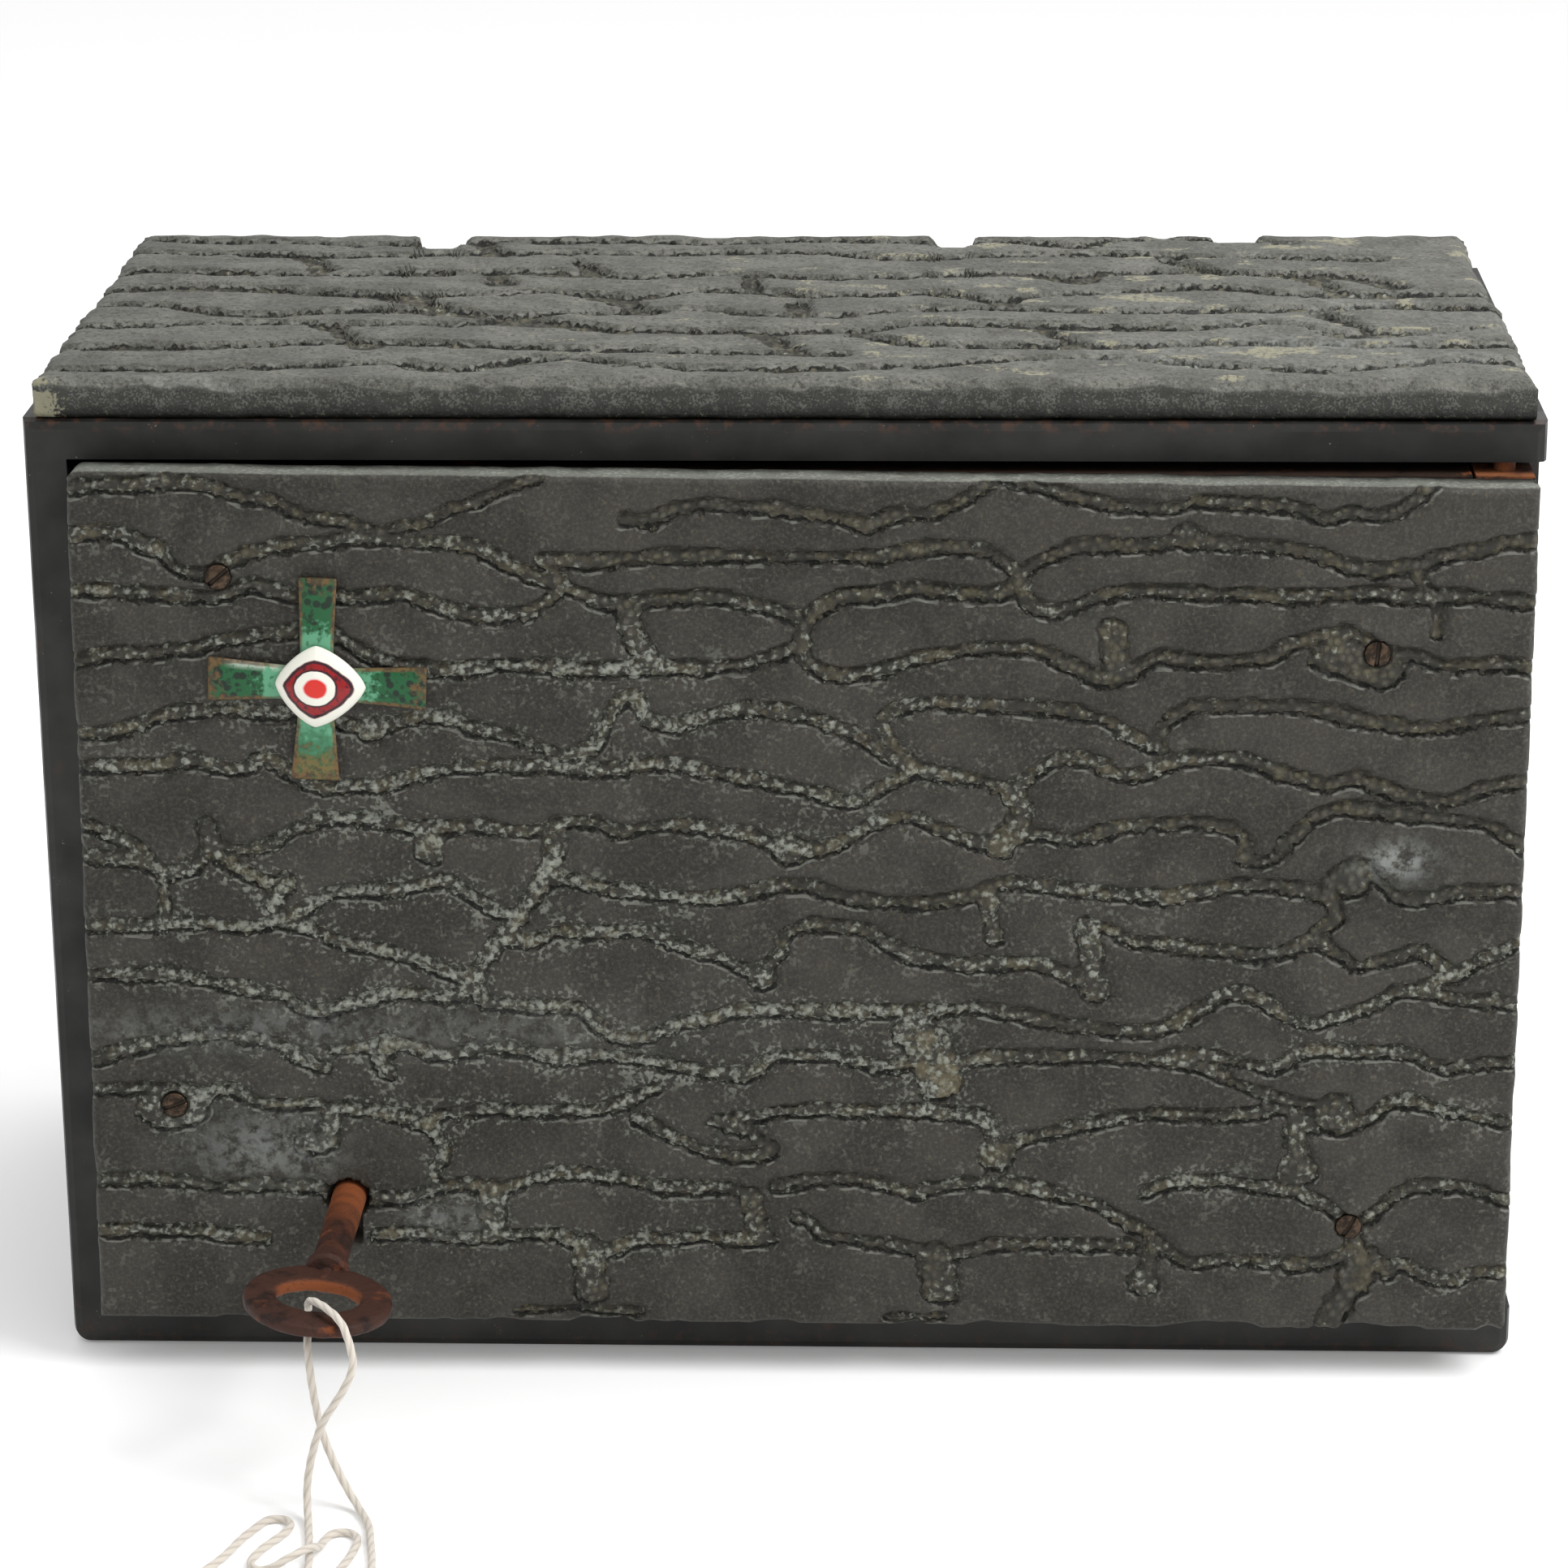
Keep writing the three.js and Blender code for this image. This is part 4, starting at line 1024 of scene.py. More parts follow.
@dataclass
class Network:
    """Channels of a slab: courses along curves, and round pits.

    A course has its width and then both coordinates of each knot in turn; a pit has its centre and radius.
    """

    courses: Courses
    pits: list[tuple[float, float, float]]
    noise: Lattice
    step: float = 2.0
    reach: float = 9.0
    sway: float = 0.55
    block: int = 16

    def signed(self, a: np.ndarray, b: np.ndarray) -> np.ndarray:
        """Distance to the nearest channel's edge, in millimetres and negative inside.

        For each course it is the least distance from its curve's short straight stretches, less half its
        width. The width and the curve wander with noise.

        Args:
            a: first coordinate of each point of a grid.
            b: second coordinate.

        Returns:
            The signed distance at each point, at most the reach.
        """
        wander = self.noise(a, b, 8.0, 5.0) + self.noise(a + 90, b, 2.9, 1.9)
        wander = self.sway * (wander + 0.6 * self.noise(a, b + 70, 4.3, 1.2))
        drift = 0.5 * self.noise(a, b + 300, 9.0)
        result = np.full(a.shape, self.reach)
        for width, *numbers in self.courses:
            line = catmull_rom(np.array(numbers, float).reshape(-1, 2), self.step)
            low, high = line.min(0) - self.reach - width, line.max(0) + self.reach + width
            near = (a > low[0]) & (a < high[0]) & (b > low[1]) & (b < high[1])
            if near.any():
                away = self.distance(a[near], b[near] + drift[near], line)
                result[near] = np.minimum(result[near], away - width / 2)
        for x, z, radius in self.pits:
            result = np.minimum(result, np.hypot(a - x, b - z) - radius)
        return result + wander * smooth(result, 4.0, 0.0)

    def distance(self, a: np.ndarray, b: np.ndarray, line: np.ndarray) -> np.ndarray:
        """Least distance of each point from a broken line, worked out in blocks of its stretches.

        Args:
            a: first coordinate of each point.
            b: second coordinate.
            line: the broken line's points.

        Returns:
            The distance of each point.
        """
        start, span = line[:-1], np.diff(line, axis=0)
        squares = np.maximum((span**2).sum(1), 1e-9)
        best = np.full(a.shape, 1e9)
        for k in range(0, len(start), self.block):
            s, d, q = (values[k:k + self.block] for values in (start, span, squares))
            da, db = a[:, None] - s[:, 0], b[:, None] - s[:, 1]
            t = np.clip((da * d[:, 0] + db * d[:, 1]) / q, 0, 1)
            away = np.hypot(da - t * d[:, 0], db - t * d[:, 1]).min(1)
            best = np.minimum(best, away)
        return best


@dataclass
class CastSlab:
    """A slab in relief: a front that is a height field, sides with their own roughness, and a flat back.

    A span gives the signed distances, or the shares of the thickness, between which something fades in.
    """

    seed: int
    thickness: float
    channel_depth: float
    rope_rise: float
    unevenness: float
    side_rows: int = 7
    wall_span: tuple[float, float] = (0.25, -0.75)
    rope_span: tuple[float, float] = (-0.8, -2.3)
    bead_span: tuple[float, float] = (-0.6, -1.6)
    bead_height: float = 0.62
    crumb_height: float = 0.35
    rim_drop: float = 0.35
    rim_width: float = 0.9
    back_span: tuple[float, float] = (0.93, 1.0)
    back_inset: float = 0.5
    rim_share: float = 0.6
    noise: Lattice = field(init=False)

    def __post_init__(self) -> None:
        """Draws the slab's noise."""
        self.noise = Lattice(self.seed)

    def relief(self, signed: np.ndarray, a: np.ndarray, b: np.ndarray) -> np.ndarray:
        """Depth below the face.

        A wall falls from the channel's edge to a crease at its foot; from there the floor rises to a rope
        with beads in the middle. The plates are slightly uneven and rounded at their rims.

        Args:
            signed: distance to the channel's edge, negative inside.
            a: first coordinate of each point.
            b: second coordinate.

        Returns:
            Depth in millimetres at each point.
        """
        wall = smooth(signed, *self.wall_span)
        rope = self.rope_rise * smooth(signed, *self.rope_span)
        beads = self.noise(a, b + 50, 3.1, 2.1) * self.bead_height
        beads = beads + self.noise(a + 40, b, 2.2, 1.4) * self.crumb_height
        floor = self.channel_depth - rope + beads * smooth(signed, *self.bead_span)
        plate = self.unevenness * (2 + self.noise(a, b, 24.0, 11.0) + self.noise(a, b + 20, 6.5, 3.1))
        plate = plate + self.rim_drop * np.exp(-np.maximum(signed, 0) / self.rim_width)
        return plate * (1 - wall) + floor * wall

    def sides(self, rim: np.ndarray, share: np.ndarray) -> np.ndarray:
        """Rows of the front's border, carried straight back, with a granular noise across them.

        Args:
            rim: the border's points in (a, b, depth).
            share: each row's share of the way to the back, as a column.

        Returns:
            The rows' points.
        """
        tangent = np.roll(rim, -1, axis=0) - np.roll(rim, 1, axis=0)
        out = np.stack([tangent[:, 1], -tangent[:, 0]], axis=-1)
        out /= np.maximum(np.linalg.norm(out, axis=1, keepdims=True), 1e-9)
        round_way = np.cumsum(np.hypot(*(rim - np.roll(rim, 1, axis=0))[:, :2].T))
        level = rim[:, 2] + share * (self.thickness - rim[:, 2])
        place = round_way + 0 * level
        swell = 0.22 * self.noise(place, level, 2.4, 2.0) - 0.22
        swell = swell + 0.25 * self.noise(place, level + 60, 9.0, 7.0)
        swell = swell * smooth(share, 1.0, 0.8) - self.back_inset * smooth(share, *self.back_span)
        across = rim[None, :, :2] + swell[..., None] * out[None]
        return np.concatenate([across, level[..., None]], axis=-1)

    def closed(self, a: np.ndarray, b: np.ndarray, depth: np.ndarray, marks: dict[str, np.ndarray]) -> Skin:
        """Adds the sides and the back to the front's grid.

        Args:
            a: first coordinate of the front's grid.
            b: second coordinate.
            depth: depth of the front's grid.
            marks: numbers for the front's points.

        Returns:
            The closed skin in (a, b, depth), with the marks side, and deep for the way to the back.
        """
        ring = border(*a.shape)
        front = np.stack([a, b, depth], axis=-1).reshape(-1, 3)
        share = (np.arange(1, self.side_rows + 1) / self.side_rows)[:, None]
        added = self.sides(front[ring], share).reshape(-1, 3)
        first, count = a.size, len(ring)
        quads = [
            grid_quads(*a.shape),
            wall_quads(ring, first),
            grid_quads(self.side_rows, count, first, ring=True)[:, [0, 3, 2, 1]],
        ]
        back = list(range(first + (self.side_rows - 1) * count, first + self.side_rows * count))
        none = np.zeros(len(added))
        stored = {name: np.concatenate([value.reshape(-1), none]) for name, value in marks.items()}
        stored["edge"][first:] = PLAIN
        stored["side"] = np.concatenate([np.zeros(first), none + 1])
        stored["side"][ring] = self.rim_share
        stored["deep"] = np.concatenate([np.zeros(first), np.repeat(share, count)])
        return Skin(np.vstack([front, added]), np.vstack(quads), [back[::-1]], stored)


@dataclass
class DoorSlab(CastSlab):
    """The cast slab on the door, with the channels that the reference shows.

    Its sides are crusted all over near the top, and in breaks at the front below that.
    """

    face_y: float = -117.0
    left: float = -198.4
    right: float = 206.9
    bottom: float = 15.2
    top: float = 269.1
    lean: float = 2.8
    drop: float = 3.9
    rise: float = 0.9
    corner: float = 3.3
    chip: float = 2.6
    columns: int = 288
    rows: int = 312
    width_span: float = 405.0
    height_span: float = 254.0
    edge_drop: float = 1.7
    edge_width: float = 2.0
    hole_radius: float = 5.8
    slot_half: float = 3.25
    slot_foot: float = 40.5
    pit_depth: float = 9.0
    seats: tuple[tuple[float, float], ...] = tuple(SCREW_PLACES.values())
    seat_radius: float = 3.9
    seat_depth: float = 2.2
    crusted: float = 8.0
    broken_depth: float = 3.0

    def plan(self) -> tuple[np.ndarray, np.ndarray, np.ndarray]:
        """The front's grid.

        A grid of shares (u, v) is carried to the outline by straight blends between its sides. Its upper
        left and lower right corners are rounded: in a small square there, the map from a square to a disc
        pulls the corner in.

        Returns:
            x, z and the distance from the outline, at each point.
        """
        spots = [(x, 6.0, 1.3) for x, _ in self.seats] + [(KEY_AXIS[0], 7.0, 1.6)]
        ends = [(self.left, 3.5, 4.0), (self.right, 3.5, 3.0)]
        x_lines = graded(self.left, self.right, self.columns, spots + ends)
        heights = [(z, 6.0, 0.9) for _, z in self.seats] + [(50.0, 9.0, 0.8)]
        rims = [(self.bottom, 2.5, 2.0), (self.top, 2.5, 3.0)]
        z_lines = graded(self.bottom, self.top, self.rows, heights + rims)
        u = (x_lines - self.left) / (self.right - self.left)
        v = (z_lines - self.bottom) / (self.top - self.bottom)
        u, v = np.meshgrid(u, v)
        flat, wide, high = np.zeros_like(u), u * self.width_span, v * self.height_span
        left = self.left + self.lean * v + 0.25 * self.noise(flat, high, 9.0)
        right = self.right - 0.35 * (1 + self.noise(flat + 20, high, 8.0))
        ragged = self.noise(wide, flat, 13.0, 1.0) + 0.5 * self.noise(wide, flat + 9, 4.0, 1.0)
        bottom = self.bottom + self.rise * (1 - u) + 1.5 * np.maximum(0, ragged)
        top = self.top - self.drop * u - 0.25 * (1 + self.noise(wide, flat + 30, 15.0, 1.0))
        x, z = left + (right - left) * u, bottom + (top - bottom) * v
        x, z = self.rounded(x, z, left, top, 1, -1, self.corner)
        x, z = self.rounded(x, z, right, bottom, -1, 1, self.chip)
        inset = np.minimum(np.minimum(x - left, right - x), np.minimum(z - bottom, top - z))
        return x, z, np.maximum(inset, 0)

    def rounded(
        self, x: np.ndarray, z: np.ndarray, side: np.ndarray, end: np.ndarray, across: int, up: int,
        radius: float,
    ) -> tuple[np.ndarray, np.ndarray]:
        """Pulls a square corner in to an arc.

        Args:
            x: x of each point.
            z: z of each point.
            side: x of the upright edge at the corner.
            end: z of the level edge there.
            across: 1 if the slab lies to the right of the corner, and -1 if to the left.
            up: 1 if the slab lies above the corner, and -1 if below.
            radius: the arc's radius.

        Returns:
            The new x and z.
        """
        p = np.clip(1 - across * (x - side) / radius, 0, 1)
        q = np.clip(1 - up * (z - end) / radius, 0, 1)
        disc_p, disc_q = square_to_disc(p, q)
        return x + across * radius * (p - disc_p), z + up * radius * (q - disc_q)

    def pits(self, x: np.ndarray, z: np.ndarray) -> np.ndarray:
        """Depth of the keyhole and of the screws' seats, each with a steep wall.

        Args:
            x: x of each point.
            z: z of each point.

        Returns:
            The depth, 0 elsewhere.
        """
        key_x, key_z = KEY_AXIS
        hole = np.hypot(x - key_x, z - key_z) - self.hole_radius
        slot = np.maximum(np.abs(x - key_x) - self.slot_half, np.maximum(self.slot_foot - z, z - key_z))
        depth = self.pit_depth * smooth(np.minimum(hole, slot), 0.3, -0.3)
        for seat_x, seat_z in self.seats:
            away = np.hypot(x - seat_x, z - seat_z) - self.seat_radius
            depth = np.maximum(depth, self.seat_depth * smooth(away, 0.3, -0.3))
        return depth

    def deposits(self, x: np.ndarray, z: np.ndarray) -> dict[str, np.ndarray]:
        """Where the channels are pale or warm and where powder lies, from soft spots and noise.

        Args:
            x: x of each point.
            z: z of each point.

        Returns:
            The marks pale, warm and powder.
        """
        cloud = self.noise(x, z, 38.0, 21.0)
        pale = 0.52 + 0.25 * cloud + bells(x, z, DOOR_PALE)
        warm = 0.35 + 0.4 * cloud + bells(x, z, DOOR_WARM)
        marks = {"pale": pale, "warm": warm, "powder": bells(x, z, DOOR_POWDER)}
        return {name: np.clip(value, 0, 1) for name, value in marks.items()}

    def skin(self) -> Skin:
        """Works out the whole slab.

        Returns:
            Its skin in the frame's x, y and z.
        """
        x, z, inset = self.plan()
        signed = Network(DOOR_COURSES, DOOR_PITS, self.noise).signed(x, z)
        depth = self.relief(signed, x, z)
        depth = depth + self.edge_drop * (1 - np.minimum(inset / self.edge_width, 1)) ** 2
        sunk = self.pits(x, z)
        depth = np.maximum(depth * (sunk < 0.2), np.maximum(sunk, depth))
        slope = np.gradient(signed, axis=0) / np.maximum(np.gradient(z, axis=0), 1e-6)
        marks = {
            "edge": np.where(sunk > 0.3, PLAIN, signed),
            "below": np.clip(-slope, 0, 1),
            "tan": np.zeros_like(x),
            **self.deposits(x, z),
        }
        closed = self.closed(x, z, depth, marks)
        a, b, d = closed.points.T
        broken = np.where(b > self.top - self.crusted, 1.0, smooth(self.noise(a, b, 3.0, 2.2), 0.0, 0.7))
        closed.marks["side"] = closed.marks["side"] * np.where(d < self.broken_depth, broken, 1.0)
        closed.points = np.stack([a, self.face_y + d, b], axis=-1)
        return closed.outward()

    def build(self) -> None:
        """Makes the piece and sets it on the door."""
        piece = Piece("door_slab_relief", Body.DOOR, Slot.CAST_BRONZE, ("door_slab",))
        piece.build(self.skin(), CastBronze("cast bronze of the door").material())


@dataclass
class TopSlab(CastSlab):
    """The cast slab on the case, with rows of channels from side to side and breaks in its back edge.

    A break has its centre, its reach into the slab and its width. Behind its middle the right edge steps in
    by lower_back, and the front edge has a dent.
    """

    face_z: float = 291.2
    left: float = -207.1
    right: float = 207.1
    front: float = -99.0
    back: float = 96.0
    columns: int = 260
    rows: int = 205
    edge_width: float = 4.0
    widening: float = 1.4
    dent_x: float = 118.0
    dent_depth: float = 0.8
    lower_back: float = 1.6
    breaks: tuple[tuple[float, float, float], ...] = (
        (-110.0, 19.0, 8.0), (49.0, 16.0, 7.0), (137.0, 7.5, 8.0), (-145.0, 2.0, 5.0), (-25.0, 2.0, 6.0),
    )

    def plan(self) -> tuple[np.ndarray, np.ndarray, np.ndarray]:
        """The top's grid: shares blended between the edges, of which the back one steps in at each break.

        Returns:
            x, y and the distance from the outline, at each point.
        """
        spots = [(self.left, 3.0, 1.5), (self.right, 3.0, 1.5)] + [(x, w, 1.2) for x, _, w in self.breaks]
        x_lines = graded(self.left, self.right, self.columns, spots)
        y_lines = graded(self.front, self.back, self.rows, [(self.front, 3.0, 2.0), (self.back, 3.0, 1.0)])
        u = (x_lines - self.left) / (self.right - self.left)
        v = (y_lines - self.front) / (self.back - self.front)
        u, v = np.meshgrid(u, v)
        flat, deep = np.zeros_like(u), v * (self.back - self.front)
        along = self.left + u * (self.right - self.left)
        back = self.back - 0.4 * (1 + self.noise(along, flat, 6.0, 1.0))
        for centre, reach, width in self.breaks:
            slanted = (along - centre + 1.5) / width
            back = back - reach * smooth(np.abs(slanted), 1.15, 0.45)
        front = self.front + 0.35 * (1 + self.noise(along, flat + 40, 11.0, 1.0))
        left = self.left + 0.5 * (1 + self.noise(flat + 9, deep, 12.0))
        right = self.right - 0.5 * (1 + self.noise(flat + 70, deep, 12.0))
        right = right - self.lower_back * smooth(v, 0.50, 0.53)
        x, y = left + (right - left) * u, front + (back - front) * v
        inset = np.minimum(np.minimum(x - left, right - x), np.minimum(y - front, back - y))
        return x, y, np.maximum(inset, 0)

    def deposits(self, x: np.ndarray, y: np.ndarray, signed: np.ndarray) -> dict[str, np.ndarray]:
        """Where the channels are pale or warm, and where powder and tan tufts lie.

        Args:
            x: x of each point.
            y: y of each point.
            signed: distance to the channel's edge, negative inside.

        Returns:
            The marks pale, warm, powder and tan.
        """
        cloud = self.noise(x, y, 33.0, 18.0)
        tufts = 0.66 * smooth(self.noise(x + 30, y, 11.0, 5.0), 0.45, 0.75) * smooth(x, -190, 120)
        streak = bells(x, y, ((0.3, -110, -90, 60, 20),))
        heap, haze = bells(x, y, ((0.55, -165, -99, 22, 5),)), bells(x, y, ((0.5, 150, -40, 70, 60),))
        marks = {
            "pale": 0.2 + 0.3 * cloud + 0.25 * smooth(x, -60, 150) + streak,
            "warm": 0.3 + 0.4 * cloud + 0.35 * smooth(x, 0, 160),
            "powder": heap + haze * (0.5 + cloud),
            "tan": bells(x, y, ((1.0, -207, -99, 5, 6),)) + tufts * (signed > 0),
        }
        return {name: np.clip(value, 0, 1) for name, value in marks.items()}

    def skin(self) -> Skin:
        """Works out the whole slab.

        Returns:
            Its skin in the frame's x, y and z.
        """
        x, y, inset = self.plan()
        network = Network(TOP_COURSES, [], self.noise, step=3.0, sway=1.5)
        signed = network.signed(x, y) - self.widening - 1.6 * self.noise(x, y, 19.0, 9.0)
        depth = self.relief(signed, x, y)
        wear_and_highlight = 2.5 + 1.0 * self.noise(x, np.zeros_like(x), 17.0, 1.0) + 1.1 * self.noise(x, y, 5.0, 2.0)
        depth = depth + wear_and_highlight * (1 - np.minimum(inset / self.edge_width, 1)) ** 2
        depth = depth + self.dent_depth * smooth(np.abs(x - self.dent_x), 14, 4) * smooth(y, -94, -98.5)
        slope = np.gradient(signed, axis=0) / np.maximum(np.gradient(y, axis=0), 1e-6)
        marks = {"edge": signed, "below": np.clip(slope, 0, 1), **self.deposits(x, y, signed)}
        closed = self.closed(x, y, depth, marks)
        a, b, d = closed.points.T
        corner = smooth(a, -196, -204) * smooth(b, -96, -98) * (d > 4.5)
        closed.marks["tan"] = np.maximum(closed.marks["tan"], corner)
        closed.points = np.stack([a, b, self.face_z - d], axis=-1)
        return closed.outward()

    def build(self) -> None:
        """Makes the piece and sets it on the case."""
        piece = Piece("top_slab_relief", Body.CASE, Slot.CAST_BRONZE, ("top_slab",))
        # The top's plates are lighter than the door's and its front side darker than its top face: a paler
        # patina, with painted light from above on the top face as well
        finish = CastBronze(
            "cast bronze of the top",
            plate=(0.062, 0.061, 0.053), plate_light=(0.108, 0.107, 0.093), fleck=(0.24, 0.24, 0.21),
            side=(0.040, 0.041, 0.036), side_fleck=(0.10, 0.10, 0.09), tan=(0.22, 0.21, 0.145),
            coarse=0.85, coarse_depth=0.0007, flank_scale=1500.0,
        )
        piece.build(self.skin(), finish.material())


# Soft spots of the door slab's deposits: a height, then the centre's x and z and the widths along them
DOOR_PALE: Spots = (
    (0.45, -120, 110, 95, 55), (0.15, -150, 205, 70, 50), (0.35, -30, 110, 70, 50), (0.2, 150, 70, 90, 60),
    (0.25, -40, 205, 80, 25), (-0.2, 110, 215, 110, 40), (-0.25, -60, 258, 160, 12), (-0.2, 160, 165, 60, 25),
    (-0.7, 161, 28, 14, 14),
)
DOOR_WARM: Spots = ((0.6, -104, 60, 22, 18), (0.7, 43, 92, 12, 10))
DOOR_POWDER: Spots = (
    (1.2, 171, 158, 9, 5), (0.65, -148, 69, 20, 11), (0.5, -98, 48, 12, 6), (0.35, -160, 106, 40, 6),
    (0.25, -90, 106, 60, 8),
)
